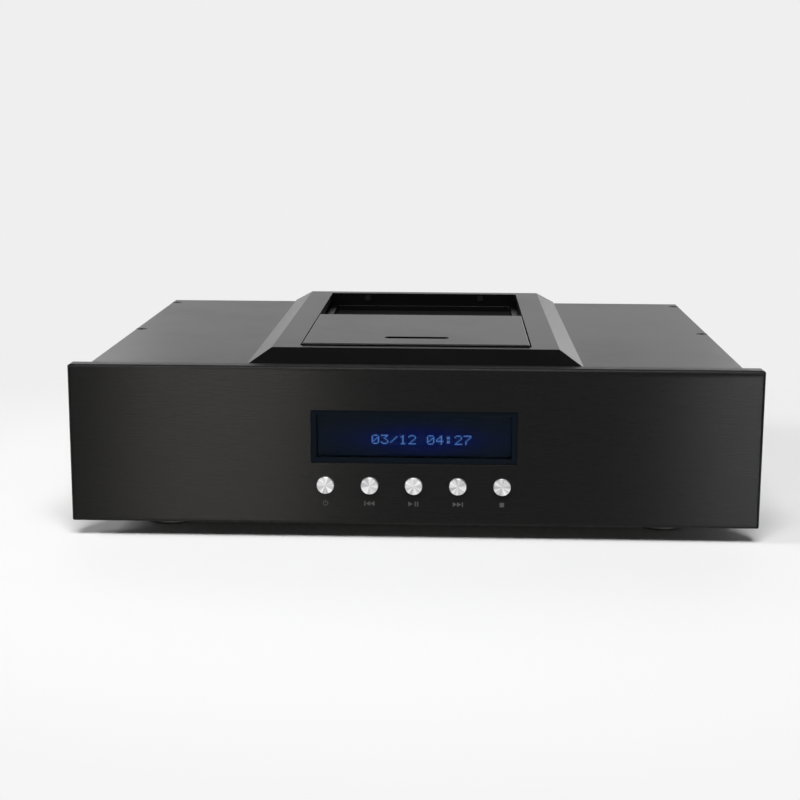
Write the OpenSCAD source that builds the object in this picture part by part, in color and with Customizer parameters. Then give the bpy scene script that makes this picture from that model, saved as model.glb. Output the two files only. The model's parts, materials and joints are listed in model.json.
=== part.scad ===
// Top-loading disc transport: a flat case behind a thick front panel, with a
// bevelled surround on top in which a door slides back from the disc well.
// Millimetres. +Z is up, the front faces -Y, and the floor is at z = 0.

/* [Front panel] */
// Width of the front panel
panel_w = 430; // [420:1:480]
// Height of the front panel
panel_h = 100; // [96:1:120]
// Thickness of the front panel
panel_t = 10; // [10:0.5:16]
// Radius of the panel's front edges and corners
panel_round = 2; // [1:0.5:4]
// Height of the panel's lower edge above the floor
panel_lift = 10; // [6:0.5:12]
// Width of the display window
window_w = 128; // [100:1:130]
// Height of the display window
window_h = 33.5; // [28:0.5:36]
// Height of the window's middle above the panel's lower edge
window_rise = 56; // [52:0.5:60]
// How far the window's face lies behind the panel's face
window_sink = 1; // [0.5:0.1:1.5]

/* [Buttons] */
// Diameter of a button
button_d = 10.7; // [8:0.1:12]
// Distance between neighbouring buttons
button_pitch = 27.5; // [22:0.5:30]
// Height of the buttons' axes above the panel's lower edge
button_rise = 25.2; // [20:0.1:28]
// How far a button stands out of the panel
button_proud = 2; // [1.5:0.1:3]
// How far a button can be pressed
button_travel = 1.2; // [0.8:0.1:1.4]

/* [Case] */
// Width over the side panels
case_w = 410; // [404:1:418]
// Depth from the back of the front panel to the back of the rear panel
case_d = 309; // [305:1:330]
// How far the top plate lies below the panel's upper edge
top_drop = 2; // [0:0.5:4]
// Thickness of the top plate
top_t = 4; // [3:0.5:5]
// Thickness of the side panels
side_t = 8; // [6:0.5:10]
// Thickness of the rear panel
rear_t = 3; // [2:0.5:4]
// Thickness of the bottom plate
base_t = 3; // [2:0.5:4]

/* [Feet] */
// Height of a foot with its pad
foot_h = 12; // [10:0.5:16]
// Diameter of a foot
foot_d = 44; // [36:1:50]
// Distance from the case's side to a foot's axis
foot_inset_x = 45; // [30:1:60]
// Distance from the case's front or back to a foot's axis
foot_inset_y = 38; // [30:1:60]
// Thickness of the rubber pad
pad_t = 3; // [2:0.5:4]

/* [Surround and door] */
// Width of the surround at its foot
surround_w = 210; // [206:1:216]
// Height of the surround above the top plate
surround_h = 10; // [9:0.5:12]
// Width of the surround's bevel, seen from above
surround_bevel = 14.5; // [12:0.5:16]
// Height of the upright edge under the bevel
surround_land = 1; // [0.5:0.5:2]
// Width of the opening in the surround
bay_w = 147; // [145:0.5:149]
// Width of the surround's front rim
rim_front = 7; // [6:0.5:10]
// Width of the surround's rear rim
rim_rear = 9.5; // [8:0.5:12]
// Length of the sliding door
door_l = 131; // [129:0.5:131.5]
// Gap between the door and the surround
door_gap = 1.2; // [0.8:0.1:1.6]
// How far the door's top stands above the surround
door_proud = 1.4; // [1:0.1:2]
// Length of the finger slot
slot_l = 42; // [36:1:50]
// Width of the finger slot
slot_w = 8; // [7:0.5:10]
// Depth of the finger slot
slot_depth = 4.5; // [4.2:0.1:5]
// Distance from the door's front edge to the slot's middle
slot_inset = 26; // [20:1:30]

/* [Disc drive] */
// Diameter of the disc well
well_d = 125; // [123:0.5:126]
// Depth of the well below the top plate
well_depth = 10; // [9:0.5:11]
// Wall thickness of the deck
deck_t = 3; // [2.5:0.25:3.5]
// Height of the disc's seat above the well's floor
disc_rise = 3.5; // [3:0.1:4]
// Diameter of the turntable
turntable_d = 32; // [30:0.5:34]
// Diameter of the turntable's centring cone
cone_d = 14.8; // [14.6:0.1:14.9]
// Diameter of the disc clamp
clamp_d = 34; // [30:0.5:38]
// Travel of the laser sled
sled_travel = 34; // [30:0.5:34]
// Diameter of the sled's guide rods
rod_d = 3; // [2.5:0.1:3]

/* [Rear panel] */
// Outside diameter of the coaxial socket's barrel
coax_d = 8.3; // [8:0.1:8.6]
// How far the coaxial socket stands out of the rear panel
coax_l = 11; // [9:0.5:14]
// Angle that the mains rocker swings through
rocker_swing = 20; // [16:1:24]

/* [Hidden] */
$fn = 64;

// Clearances
slip = 0.2;          // pieces that drop into a cut-out
running = 0.06;      // shafts, rods and bushes, on the radius
slide_gap = 0.1;     // under the door's slide strips
cut = 1;             // how far a cutter reaches past a face
weld = 0.01;         // how far joined shapes of one solid reach into each other
brim = 0.001;        // how far a countersink passes the face it opens in

// Heights
panel_z1 = panel_lift + panel_h;
top_z = panel_z1 - top_drop;
deck_z = top_z - top_t;
base_z0 = foot_h;
base_z1 = base_z0 + base_t;
wall_h = deck_z - base_z1;

// Depths, measured from the panel's front face
case_y0 = panel_t;
case_y1 = panel_t + case_d;
rear_y0 = case_y1 - rear_t;
inner_x = case_w / 2 - side_t;

// Surround and door
surround_gap = 0.2;
surround_y0 = case_y0 + surround_gap;
surround_l = case_y1 - surround_y0;
surround_z1 = top_z + surround_h;
bay_y0 = surround_y0 + surround_bevel + rim_front;
bay_y1 = case_y1 - surround_bevel - rim_rear;
bay_l = bay_y1 - bay_y0;
bay_corner = 1.5;
slide_ledge = 4.5;
flange_w = 4;
flange_t = 2.8;
flange_gap = 0.4;
strip_w = 5;
strip_t = 0.9;
door_w = bay_w - 2 * door_gap;
door_y0 = bay_y0 + door_gap;
door_y1 = door_y0 + door_l;
door_z0 = top_z + slide_gap + strip_t;
door_z1 = surround_z1 + door_proud;
door_chamfer = 0.6;
plate_chamfer = 0.6;
door_pocket_t = 6.2;
door_pocket_wall = 10;
door_pocket_corner = 6;
bumper_d = 5;
bumper_out = 0.9;
bumper_x = 45;
bumper_z = top_z + (surround_h + flange_t) / 2;
bumper_seat = 2;
magnet_d = 6;
magnet_h = 3;
magnet_x = 55;
magnet_inset = 12;
sensor_w = 14;
sensor_d = 8;
sensor_gap = 1;

// Disc drive, about the disc's axis
disc_y = bay_y0 + door_gap + door_l / 2;
well_z = deck_z - well_depth;
disc_z = well_z + disc_rise;
drive_drop = 8;
drive_z1 = well_z - deck_t - drive_drop;
drive_t = 3;
drive_z0 = drive_z1 - drive_t;
notch_d = 22;
notch_x = 58;
notch_rise = 2;
deck_margin_x = 17;
deck_margin_y = 8;
deck_corner = 4;
deck_w = bay_w + 2 * deck_margin_x;
turntable_gap = 2;
turntable_hole_d = turntable_d + 2 * turntable_gap;
laser_slot_w = 24;
lens_home = 24;
laser_slot_in = 0.5;
lens_reach = well_d / 2 - laser_slot_in;
head_w = 20;
head_inner = 9;
head_outer = 3.4;
lens_d = 6;
rod_x = 18;
rod_rise = 4;
rod_z = drive_z1 + rod_rise;
sled_w = 50;
sled_inner = 16;
sled_outer = 16;
sled_lift = 3.2;
sled_t = 3.8;
sled_z0 = drive_z1 + sled_lift;
sled_z1 = sled_z0 + sled_t;
sled_y0 = disc_y + lens_home - sled_inner;
sled_y1 = disc_y + lens_home + sled_outer;
lug_l = 5;
lug_w = 9;
lug_gap = 1;
lug_wall = 1;
rod_y0 = sled_y0 - lug_gap - lug_l;
rod_y1 = sled_y1 + sled_travel + 3 * lug_gap + lug_l;
drive_w = 100;
drive_front = 30;
drive_back = 7;
drive_y0 = disc_y - drive_front;
drive_y1 = rod_y1 + drive_back;
post_d = 6;
post_x = 42;
post_inset = 10;
post_foot_h = 2;
post_foot_in = 0.5;
damper_d = 12;
damper_neck_d = 9;
damper_flange = 2;
motor_d = 28;
motor_h = 16;
motor_boss_d = 9.6;
motor_boss_out = 1;
shaft_d = 3;
shaft_deep = 14;
shaft_end_gap = 0.5;
sled_shaft_deep = 10;
hub_d = 12;
hub_drop = 11;
turntable_t = 2.5;
turntable_ease = 0.3;
cone_moat = 0.6;
cone_moat_w = 1;
cone_lip = 1.2;
cone_h = 3;
cone_taper = 1.6;
shaft_up = 2;
seat_gap = 0.01;
clamp_gap = 0.4;
clamp_h = 9;
clamp_rim_h = 3.6;
clamp_ease = 0.5;
clamp_shoulder = 0.6;
clamp_grip_in = 5.5;
clamp_top_ease = 0.8;
clamp_land = 2.2;
clamp_dish = 0.35;
clamp_dimple_d = 2.4;
clamp_dimple = 0.9;
bearing_l = 8;
bearing_wall = 1.5;
belly_in = 5;
belly_end = 4;
belly_gap = 1;
head_clear = 3;
lens_seat = 4;
lens_rim = 1;
lens_dome = 0.8;
lens_dome_share = 0.85;

// Sled gearing: a rack on the sled, a double gear and the motor's pinion
rack_module = 0.6;
rack_teeth = 16;
wheel_module = 0.4;
wheel_teeth = 62;
pinion_teeth = 14;
tooth_reach = 0.8;
tooth_root = 1.1;
backlash = 0.08;
rack_x = 28;
rack_t = 3;
rack_gap = 0.4;
rack_root = 1;
rack_lead = 4;
rack_run = sled_travel + 2 * rack_lead;
gear_x = rack_x + rack_module * rack_teeth / 2;
gear_back = 2;
gear_lift = 0.6;
gear_y = sled_y1 - gear_back;
gear_z = drive_z1 + gear_lift;
wheel_t = 2;
gear_pinion_t = 4;
axle_d = 3;
axle_end = 0.4;
pinion_gap = (wheel_teeth + pinion_teeth) * wheel_module / 2;
pinion_y = gear_y + pinion_gap;
pinion_t = 3;
sled_motor_d = 16;
sled_motor_h = 18;
sled_shaft_d = 1.5;
sled_boss_d = 6;

// Front controls
window_z = panel_lift + window_rise;
window_corner = 1;
window_skin = 4;
window_flange = 3;
window_flange_t = 2;
pocket_gap = 0.5;
glass_gap = 0.6;
glass_t = 3;
glass_margin = 2;
frame_t = 5.4;
frame_margin = 4;
glass_y = window_sink + window_skin + window_flange_t + glass_gap;
frame_y = glass_y + glass_t;
control_y = frame_y + frame_t;
control_t = 1.6;
control_w = 152;
control_margin = 8;
control_hole_d = 3;
button_z = panel_lift + button_rise;
button_count = 5;
button_slip = 0.2;
button_flange = 1.2;
button_flange_t = 1.5;
button_seat_d = button_d + 2 * (button_flange + button_slip);
button_seat_deep = 3;
button_seat = panel_t - button_seat_deep;
button_chamfer = 0.35;
button_dish = 0.25;
button_lip = 1;
button_stem_d = 4;
button_stem_out = 0.2;
button_stem_y = panel_t + button_stem_out;
tact_w = 6;
tact_plunger_d = 3.4;
tact_gap = 0.2;
tact_plunger_y = button_stem_y + button_travel + tact_gap;
tact_plunger_l = 0.8;

// Fasteners: M4 countersunk, M4 and M3 pan heads
m4_d = 4;
m4_head_d = 7.6;
m4_head_h = 2.2;
m4_l = 14;
pan_head_d = 7;
pan_head_h = 2.6;
thread_gap = 0.05;
screw_gap = 0.2;
socket_af = 2.5;
socket_deep = 1.4;
screw_end_gap = 0.5;
edge_screw_front = 8;
edge_screw_forward = 4;
edge_screw_back = 15;
edge_screw_y = [
    case_y0 + edge_screw_front,
    (case_y0 + case_y1) / 2 - edge_screw_forward,
    case_y1 - edge_screw_back
];
edge_screw_x = case_w / 2 - side_t / 2;
surround_screw_out = 9;
surround_screw_front = 18;
surround_screw_back = 15;
surround_screw_x = bay_w / 2 + surround_screw_out;
surround_screw_y = [bay_y0 + surround_screw_front, (bay_y0 + bay_y1) / 2, bay_y1 - surround_screw_back];
surround_screw_bite = 5;

// Corner brackets and the screws that hold them
bracket_leg = 20;
bracket_t = 3;
bracket_h = 60;
bracket_lift = 12;
bracket_z = base_z1 + bracket_lift;
bracket_screw_in = 12.4;
bracket_screw_rise = [12, 48];
side_screw_rise = [22, 38];
bracket_bite = 6;
rear_bite = rear_t;

// Feet
foot_x = case_w / 2 - foot_inset_x;
foot_y = [case_y0 + foot_inset_y, case_y1 - foot_inset_y];
foot_wall = 3;
foot_waist = 2;
foot_band = 5.4;
foot_groove = 1;
foot_ease = 1;
foot_lip_ease = 0.5;
foot_head_gap = 1;
foot_screw_end = 1;
foot_screw_d = 5;
foot_screw_head_d = 9;
foot_screw_head_h = 3;
foot_nut_af = 8;
foot_nut_h = 4;
pad_sink = 1.5;
pad_ease = 0.8;
pad_hole_d = 12;

// Electronics
column_margin = 7;
column_x0 = deck_w / 2 + column_margin;
column_x1 = inner_x - column_margin;
column_w = column_x1 - column_x0;
column_x = (column_x0 + column_x1) / 2;
toroid_slack = 0.25;
toroid_d = column_w - 2 * toroid_slack;
toroid_bore = 30;
toroid_h = 44;
toroid_round = 12;
toroid_pad = 2;
toroid_gap = 3;
toroid_y = foot_y[0] + foot_nut_af + toroid_gap + toroid_d / 2;
toroid_bolt_d = 6;
toroid_washer_d = 60;
toroid_washer_h = 2;
toroid_head_d = 12;
toroid_head_h = 2.5;
toroid_nut_h = 5;
board_t = 1.6;
board_hole_d = 3.2;
standoff_h = 8;
standoff_d = 6;
standoff_inset = 5;
board_z = base_z1 + standoff_h;
power_gap = 14;
power_back = 36;
power_y0 = toroid_y + toroid_d / 2 + power_gap;
power_y1 = rear_y0 - power_back;
main_front = 36;
main_back = 30;
main_y0 = case_y0 + main_front;
main_y1 = rear_y0 - main_back;
vent_count = 7;
vent_pitch = 9;
vent_l = 50;
vent_w = 3;
cap_d = 25;
cap_h = 40;
cap_pitch = 30;
cap_rows = 2;
sink_inset = 26;
sink_back = 3;
sink_gap = 2;
sink_w = 40;
sink_d = 14;
sink_h = 30;
cap_room = power_y1 - sink_inset - power_y0;
fin_count = 7;
fin_t = 1.4;
processor_w = 20;
processor_h = 2.4;
chip_w = 14;
chip_d = 10;
chip_h = 2;
chip_spread = 22;
clock_can_w = 28;
clock_can_d = 20;
clock_can_h = 9;
relay_w = 16;
relay_d = 12;
relay_h = 8;

// Rear sockets
socket_rise = 36;
socket_z = base_z1 + socket_rise;
flange_out = 2;
inlet_in = 55;
inlet_x = inlet_in - case_w / 2;
inlet_w = 28;
inlet_h = 20.4;
inlet_slope = 5;
inlet_deep = 24;
inlet_wall = 2;
inlet_cavity = 16;
inlet_flange_w = 50;
inlet_flange_h = 26;
inlet_corner = 4;
inlet_pin_x = 7;
inlet_pin_up = 2.5;
inlet_pin_w = 2;
inlet_pin_h = 4;
pin_tail = 5;
pin_in = 1;
inlet_pin_y = case_y1 - inlet_deep - pin_tail;
switch_step = 48;
switch_x = inlet_x + switch_step;
switch_w = 15;
switch_h = 21;
switch_rim = 2;
switch_corner = 1.5;
switch_deep = 20;
rocker_w = 12;
rocker_h = 15;
rocker_out = 3;
rocker_r = 9;
rocker_back = 7;
rocker_tail = 3;
rocker_pivot_d = 3;
rocker_pivot_out = 0.8;
rocker_ease = 0.6;
rocker_gap = 0.3;
rocker_in = 6;
rocker_end_gap = 1;
rocker_y = case_y1 - rocker_in;
rocker_reach = case_y1 + flange_out + rocker_out - rocker_y;
rocker_tip = norm([rocker_reach, rocker_h / 2]) - rocker_ease;
rocker_room = rocker_tip * sin(asin(rocker_h / 2 / rocker_tip) + rocker_swing / 2) + rocker_gap;
balanced_in = 145;
balanced_x = case_w / 2 - balanced_in;
balanced_shell_d = 21;
balanced_cavity_d = 18.6;
balanced_deep = 16;
balanced_pin_d = 2.4;
balanced_pin_r = 5.2;
balanced_flange_w = 26;
balanced_flange_h = 31;
balanced_corner = 3;
balanced_back = 2;
balanced_y0 = case_y1 - balanced_deep - balanced_back;
balanced_pin_y = case_y1 - balanced_deep - pin_tail;
clock_in = 100;
clock_x = case_w / 2 - clock_in;
clock_d = 9.6;
clock_l = 10;
clock_lug_d = 2;
clock_lug_out = 0.9;
clock_lug_back = 3;
clock_nut_d = 15;
clock_wall = 0.8;
clock_core_d = 4.6;
clock_core_back = 2;
clock_hole_d = 1.4;
clock_hole_floor = 3;
coax_in = 65;
coax_x = case_w / 2 - coax_in;
coax_hole_d = 3.3;
coax_flange_d = 13;
coax_wall = 0.9;
coax_liner = 0.5;
coax_recess = 4;
socket_body_d = 11;
socket_body_l = 12;

// Wiring
wire_d = 2.5;
wire_gap = 0.2;
wire_rise = 8;

// The part's origin is under the middle of its box
box_y0 = -button_proud;
box_y1 = case_y1 + max(coax_l, clock_l);
box_y = (box_y0 + box_y1) / 2;

// Colours
c_black = "#1c1c1d";
c_matt = "#121213";
c_silver = "#d9dadc";
c_steel = "#a9abae";
c_rubber = "#202020";
c_board = "#1d4a34";
c_gold = "#c9a24a";
c_blue = "#101c6e";

// Shapes that repeat

module rounded_rect(w, h, r) {
    square([w - 2 * r, h], center = true);
    square([w, h - 2 * r], center = true);
    for (sx = [-1, 1], sy = [-1, 1])
        translate([sx * (w / 2 - r), sy * (h / 2 - r)]) circle(r);
}

module stadium(l, w) {
    square([l - w, w], center = true);
    for (s = [-1, 1]) translate([s * (l - w) / 2, 0]) circle(d = w);
}

// A rectangle of depth d and width w whose two corners at depth 0 are round
module front_rounded(d, w, r) {
    translate([r, -w / 2]) square([d - r, w]);
    translate([0, r - w / 2]) square([r, w - 2 * r]);
    for (s = [-1, 1]) translate([r, s * (w / 2 - r)]) circle(r);
}

// A profile drawn in X and Z, carried along Y
module along_y(y0, l) {
    translate([0, y0 + l, 0]) rotate([90, 0, 0]) linear_extrude(l) children();
}

// A profile drawn in Y and Z, carried along X
module along_x(x0, l) {
    translate([x0, 0, 0]) rotate([90, 0, 90]) linear_extrude(l) children();
}

// A turned profile whose axis runs along Y
module turned_y(x, y, z) {
    translate([x, y, z]) rotate([-90, 0, 0]) rotate_extrude() children();
}

module y_cylinder(x, y, z, d, l) {
    translate([x, y, z]) rotate([-90, 0, 0]) cylinder(d = d, h = l);
}

module bevel_profile(w, land, h, bevel) {
    polygon([
        [-w / 2, 0], [w / 2, 0], [w / 2, land],
        [w / 2 - bevel, h], [bevel - w / 2, h], [-w / 2, land]
    ]);
}

// A block whose four upper edges are bevelled and mitred
module bevel_block(w, y0, l, z0, h, land, bevel) {
    intersection() {
        along_y(y0, l) translate([0, z0]) bevel_profile(w, land, h, bevel);
        along_x(-w / 2, w) translate([y0 + l / 2, z0]) bevel_profile(l, land, h, bevel);
    }
}

// A countersunk screw with its head's face at the origin, pointing down
module flat_screw(l) {
    difference() {
        union() {
            translate([0, 0, -m4_head_h]) cylinder(d1 = m4_d, d2 = m4_head_d, h = m4_head_h);
            translate([0, 0, -l]) cylinder(d = m4_d, h = l - m4_head_h + weld);
        }
        translate([0, 0, -socket_deep]) cylinder(d = socket_af / cos(30), h = socket_deep + cut, $fn = 6);
    }
}

// The hole for a countersunk screw through a plate of thickness t
module flat_screw_hole(t) {
    translate([0, 0, -t - cut]) cylinder(d = m4_d + 2 * screw_gap, h = t + 2 * cut);
    translate([0, 0, -m4_head_h - slip])
        cylinder(d1 = m4_d + 2 * screw_gap, d2 = m4_head_d + 2 * screw_gap, h = m4_head_h + slip + brim);
}

// A pan head screw whose head sits on the origin, with its shank going down
module pan_screw(d, l) {
    difference() {
        union() {
            cylinder(d = pan_head_d, h = pan_head_h);
            translate([0, 0, -l]) cylinder(d = d, h = l + weld);
        }
        translate([0, 0, pan_head_h - socket_deep])
            cylinder(d = socket_af / cos(30), h = socket_deep + cut, $fn = 6);
    }
}

// Half the angle of an involute tooth at radius p, in degrees
function inv(a) = tan(a) * 180 / PI - a;
function tooth_half(m, n, p) =
    let (r = m * n / 2, base = r * cos(20))
    90 / n - backlash / 2 / r * 180 / PI + inv(20) - inv(acos(min(1, base / max(p, base))));

function polar(r, a) = [r * cos(a), r * sin(a)];

// The outline of a gear with a tooth's middle at angle 0
module gear_outline(m, n) {
    r = m * n / 2;
    tip = r + tooth_reach * m;
    root = r - tooth_root * m;
    steps = 4;
    flank = [for (i = [0 : steps]) root + (tip - root) * i / steps];
    polygon([
        for (k = [0 : n - 1])
            let (mid = k * 360 / n)
            each concat(
                [for (p = flank) polar(p, mid - tooth_half(m, n, p))],
                [for (i = [steps : -1 : 0]) polar(flank[i], mid + tooth_half(m, n, flank[i]))]
            )
    ]);
}

// A rack along Y with its pitch line at x = 0, a tooth's middle at y = 0 and teeth from y0 to y1
module rack_outline(m, y0, y1, back) {
    pitch = PI * m;
    up = tooth_reach * m;
    down = tooth_root * m;
    half = pitch / 4 - backlash / 2;
    first = ceil((y0 + pitch / 2) / pitch);
    last = floor((y1 - pitch / 2) / pitch);
    polygon(concat(
        [[-back, y0], [-down, y0]],
        [
            for (k = [first : last])
                each [
                    [-down, k * pitch - half - down * tan(20)],
                    [up, k * pitch - half + up * tan(20)],
                    [up, k * pitch + half - up * tan(20)],
                    [-down, k * pitch + half + down * tan(20)]
                ]
        ],
        [[-down, y1], [-back, y1]]
    ));
}

function button_x(i) = (i - (button_count - 1) / 2) * button_pitch;

// Front panel and controls

module front_panel() {
    color(c_black) difference() {
        intersection() {
            along_y(0, panel_t)
                translate([0, panel_lift + panel_h / 2]) rounded_rect(panel_w, panel_h, panel_round);
            along_x(-panel_w / 2, panel_w)
                translate([0, panel_lift + panel_h / 2]) front_rounded(panel_t, panel_h, panel_round);
            translate([0, 0, panel_lift]) linear_extrude(panel_h)
                mirror([1, -1, 0]) front_rounded(panel_t, panel_w, panel_round);
        }
        along_y(-cut, panel_t + 2 * cut)
            translate([0, window_z]) rounded_rect(window_w, window_h, window_corner);
        along_y(window_sink + window_skin, panel_t)
            translate([0, window_z]) rounded_rect(
                window_w + 2 * (window_flange + frame_margin),
                window_h + 2 * (window_flange + pocket_gap),
                window_corner
            );
        for (i = [0 : button_count - 1]) {
            y_cylinder(button_x(i), -cut, button_z, button_d + 2 * button_slip, panel_t + 2 * cut);
            y_cylinder(button_x(i), button_seat, button_z, button_seat_d, panel_t);
        }
        bracket_places(true) translate([0, 0, -bracket_t - bracket_bite])
            cylinder(d = m4_d + 2 * thread_gap, h = bracket_t + bracket_bite);
    }
}

module display_window() {
    color("#0b1030") {
        along_y(window_sink, window_skin)
            translate([0, window_z])
                rounded_rect(window_w - slip, window_h - slip, window_corner - slip / 2);
        along_y(window_sink + window_skin, window_flange_t)
            translate([0, window_z])
                rounded_rect(window_w + 2 * window_flange, window_h + 2 * window_flange, window_corner);
    }
}

module display_glass() {
    color(c_blue) translate([-window_w / 2 + glass_margin, glass_y, window_z - window_h / 2 + glass_margin])
        cube([window_w - 2 * glass_margin, glass_t, window_h - 2 * glass_margin]);
}

module display_frame() {
    w = window_w + frame_margin;
    h = window_h + frame_margin / 2;
    color(c_steel) translate([-w / 2, frame_y, window_z - h / 2]) cube([w, frame_t, h]);
}

module control_board() {
    z0 = button_z - control_margin;
    z1 = window_z + window_h / 2 + control_margin;
    color(c_board) difference() {
        translate([-control_w / 2, control_y, z0]) cube([control_w, control_t, z1 - z0]);
        control_spacer_places() y_cylinder(0, control_y - cut, 0, control_hole_d, control_t + 2 * cut);
    }
}

module control_spacer_places() {
    z0 = button_z;
    z1 = window_z + window_h / 2 + control_margin / 2;
    for (sx = [-1, 1], z = [z0, z1])
        translate([sx * (control_w / 2 - standoff_inset), 0, z]) children();
}

module tact_switches() {
    color(c_matt) for (i = [0 : button_count - 1]) {
        y0 = tact_plunger_y + tact_plunger_l;
        translate([button_x(i) - tact_w / 2, y0, button_z - tact_w / 2])
            cube([tact_w, control_y - y0, tact_w]);
        y_cylinder(button_x(i), tact_plunger_y, button_z, tact_plunger_d, tact_plunger_l + weld);
    }
}

// A turned button: a shallow dished face, a shoulder behind the panel and a stem
module push_button(i) {
    r = button_d / 2;
    color(c_silver) turned_y(button_x(i), 0, button_z) polygon([
        [0, button_dish - button_proud],
        [r - button_chamfer - button_lip, button_dish - button_proud],
        [r - button_chamfer, -button_proud],
        [r, button_chamfer - button_proud],
        [r, button_seat + slide_gap],
        [r + button_flange, button_seat + slide_gap],
        [r + button_flange, button_seat + slide_gap + button_flange_t],
        [button_stem_d / 2, button_seat + slide_gap + button_flange_t],
        [button_stem_d / 2, button_stem_y],
        [0, button_stem_y]
    ]);
}

// Case

module edge_screw_places() {
    for (sx = [-1, 1], y = edge_screw_y) translate([sx * edge_screw_x, y, 0]) children();
}

module surround_screw_places() {
    for (sx = [-1, 1], y = surround_screw_y) translate([sx * surround_screw_x, y, 0]) children();
}

module top_plate() {
    color(c_black) difference() {
        bevel_block(case_w, case_y0, case_d, deck_z, top_t, top_t - plate_chamfer, plate_chamfer);
        translate([0, (bay_y0 + bay_y1) / 2, deck_z - cut]) linear_extrude(top_t + 2 * cut)
            rounded_rect(bay_w - 2 * slide_ledge, bay_l, bay_corner);
        edge_screw_places() translate([0, 0, top_z]) flat_screw_hole(top_t);
        surround_screw_places() translate([0, 0, deck_z - cut])
            cylinder(d = m4_d + 2 * screw_gap, h = top_t + 2 * cut);
    }
}

module door_surround() {
    groove_w = bay_w + 2 * (flange_w + flange_gap);
    groove_h = slide_gap + strip_t + flange_t + flange_gap;
    color(c_black) difference() {
        bevel_block(surround_w, surround_y0, surround_l, top_z, surround_h, surround_land, surround_bevel);
        translate([0, (bay_y0 + bay_y1) / 2, top_z - cut]) linear_extrude(surround_h + 2 * cut)
            rounded_rect(bay_w, bay_l, bay_corner);
        translate([-groove_w / 2, bay_y0, top_z - cut]) cube([groove_w, bay_l, groove_h + cut]);
        surround_screw_places() translate([0, 0, top_z - cut])
            cylinder(d = m4_d + 2 * thread_gap, h = surround_screw_bite + screw_end_gap + cut);
        for (sx = [-1, 1]) {
            y_cylinder(sx * bumper_x, bay_y0 - bumper_seat, bumper_z, bumper_d, bumper_seat + cut);
            y_cylinder(sx * bumper_x, bay_y1 - cut, bumper_z, bumper_d, bumper_seat + cut);
        }
    }
}

module door_bumpers() {
    l = bumper_seat + bumper_out;
    color(c_rubber) for (sx = [-1, 1], y = [bay_y0 - bumper_seat, bay_y1 - bumper_out])
        y_cylinder(sx * bumper_x, y, bumper_z, bumper_d - 2 * thread_gap, l);
}

module side_panel(sx) {
    color(c_black) difference() {
        translate([sx * edge_screw_x - side_t / 2, case_y0, base_z1]) cube([side_t, case_d, wall_h]);
        for (y = edge_screw_y) translate([sx * edge_screw_x, y, 0]) {
            translate([0, 0, top_z - m4_l - cut]) cylinder(d = m4_d + 2 * thread_gap, h = m4_l);
            translate([0, 0, base_z1 - cut])
                cylinder(d = m4_d + 2 * thread_gap, h = m4_l - base_t + 2 * cut);
        }
        side_bracket_places() translate([0, 0, -bracket_t - bracket_bite])
            cylinder(d = m4_d + 2 * thread_gap, h = bracket_t + bracket_bite);
    }
}

module rear_panel() {
    color(c_black) difference() {
        translate([-inner_x, rear_y0, base_z1]) cube([2 * inner_x, rear_t, wall_h]);
        along_y(rear_y0 - cut, rear_t + 2 * cut) {
            translate([inlet_x, socket_z]) inlet_profile(slip / 2);
            translate([switch_x, socket_z]) square([switch_w + slip, switch_h + slip], center = true);
        }
        y_cylinder(balanced_x, rear_y0 - cut, socket_z, balanced_shell_d + slip, rear_t + 2 * cut);
        for (x = [clock_x, coax_x])
            y_cylinder(x, rear_y0 - cut, socket_z, socket_body_d + slip, rear_t + 2 * cut);
        bracket_places(false) translate([0, 0, -bracket_t - rear_bite - cut])
            cylinder(d = m4_d + 2 * thread_gap, h = bracket_t + rear_bite + 2 * cut);
    }
}

module vent_slots(x, y) {
    for (i = [-(vent_count - 1) / 2 : (vent_count - 1) / 2])
        translate([x, y + i * vent_pitch, base_z0 - cut])
            linear_extrude(base_t + 2 * cut) stadium(vent_l, vent_w);
}

module bottom_plate() {
    color(c_matt) difference() {
        translate([0, 0, base_z1]) mirror([0, 0, 1])
            bevel_block(case_w, case_y0, case_d, 0, base_t, base_t - plate_chamfer, plate_chamfer);
        edge_screw_places() translate([0, 0, base_z0]) mirror([0, 0, 1]) flat_screw_hole(base_t);
        for (sx = [-1, 1], y = foot_y) translate([sx * foot_x, y, base_z0 - cut])
            cylinder(d = foot_screw_d + 2 * screw_gap, h = base_t + 2 * cut);
        translate([-column_x, toroid_y, base_z0 - cut])
            cylinder(d = toroid_bolt_d + 2 * screw_gap, h = base_t + 2 * cut);
        vent_slots(-column_x, (power_y0 + power_y1) / 2);
        vent_slots(column_x, (main_y0 + main_y1) / 2);
    }
}

module case_screws() {
    color(c_matt) edge_screw_places() {
        translate([0, 0, top_z]) flat_screw(m4_l);
        translate([0, 0, base_z0]) mirror([0, 0, 1]) flat_screw(m4_l);
    }
}

module surround_screws() {
    l = deck_t + top_t + surround_screw_bite;
    color(c_steel) surround_screw_places()
        translate([0, 0, deck_z - deck_t]) mirror([0, 0, 1]) pan_screw(m4_d, l);
}

// Where the screws go through a bracket into the front panel, or into the rear panel
module bracket_places(front) {
    for (sx = [-1, 1], rise = bracket_screw_rise)
        translate([
            sx * (inner_x - bracket_screw_in),
            front ? case_y0 + bracket_t : rear_y0 - bracket_t,
            bracket_z + rise
        ]) rotate([front ? -90 : 90, 0, 0]) children();
}

// Where the screws go through a bracket into a side panel
module side_bracket_places() {
    for (sx = [-1, 1], y = [case_y0 + bracket_screw_in, rear_y0 - bracket_screw_in], rise = side_screw_rise)
        translate([sx * (inner_x - bracket_t), y, bracket_z + rise])
            rotate([0, -90 * sx, 0]) children();
}

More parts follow.
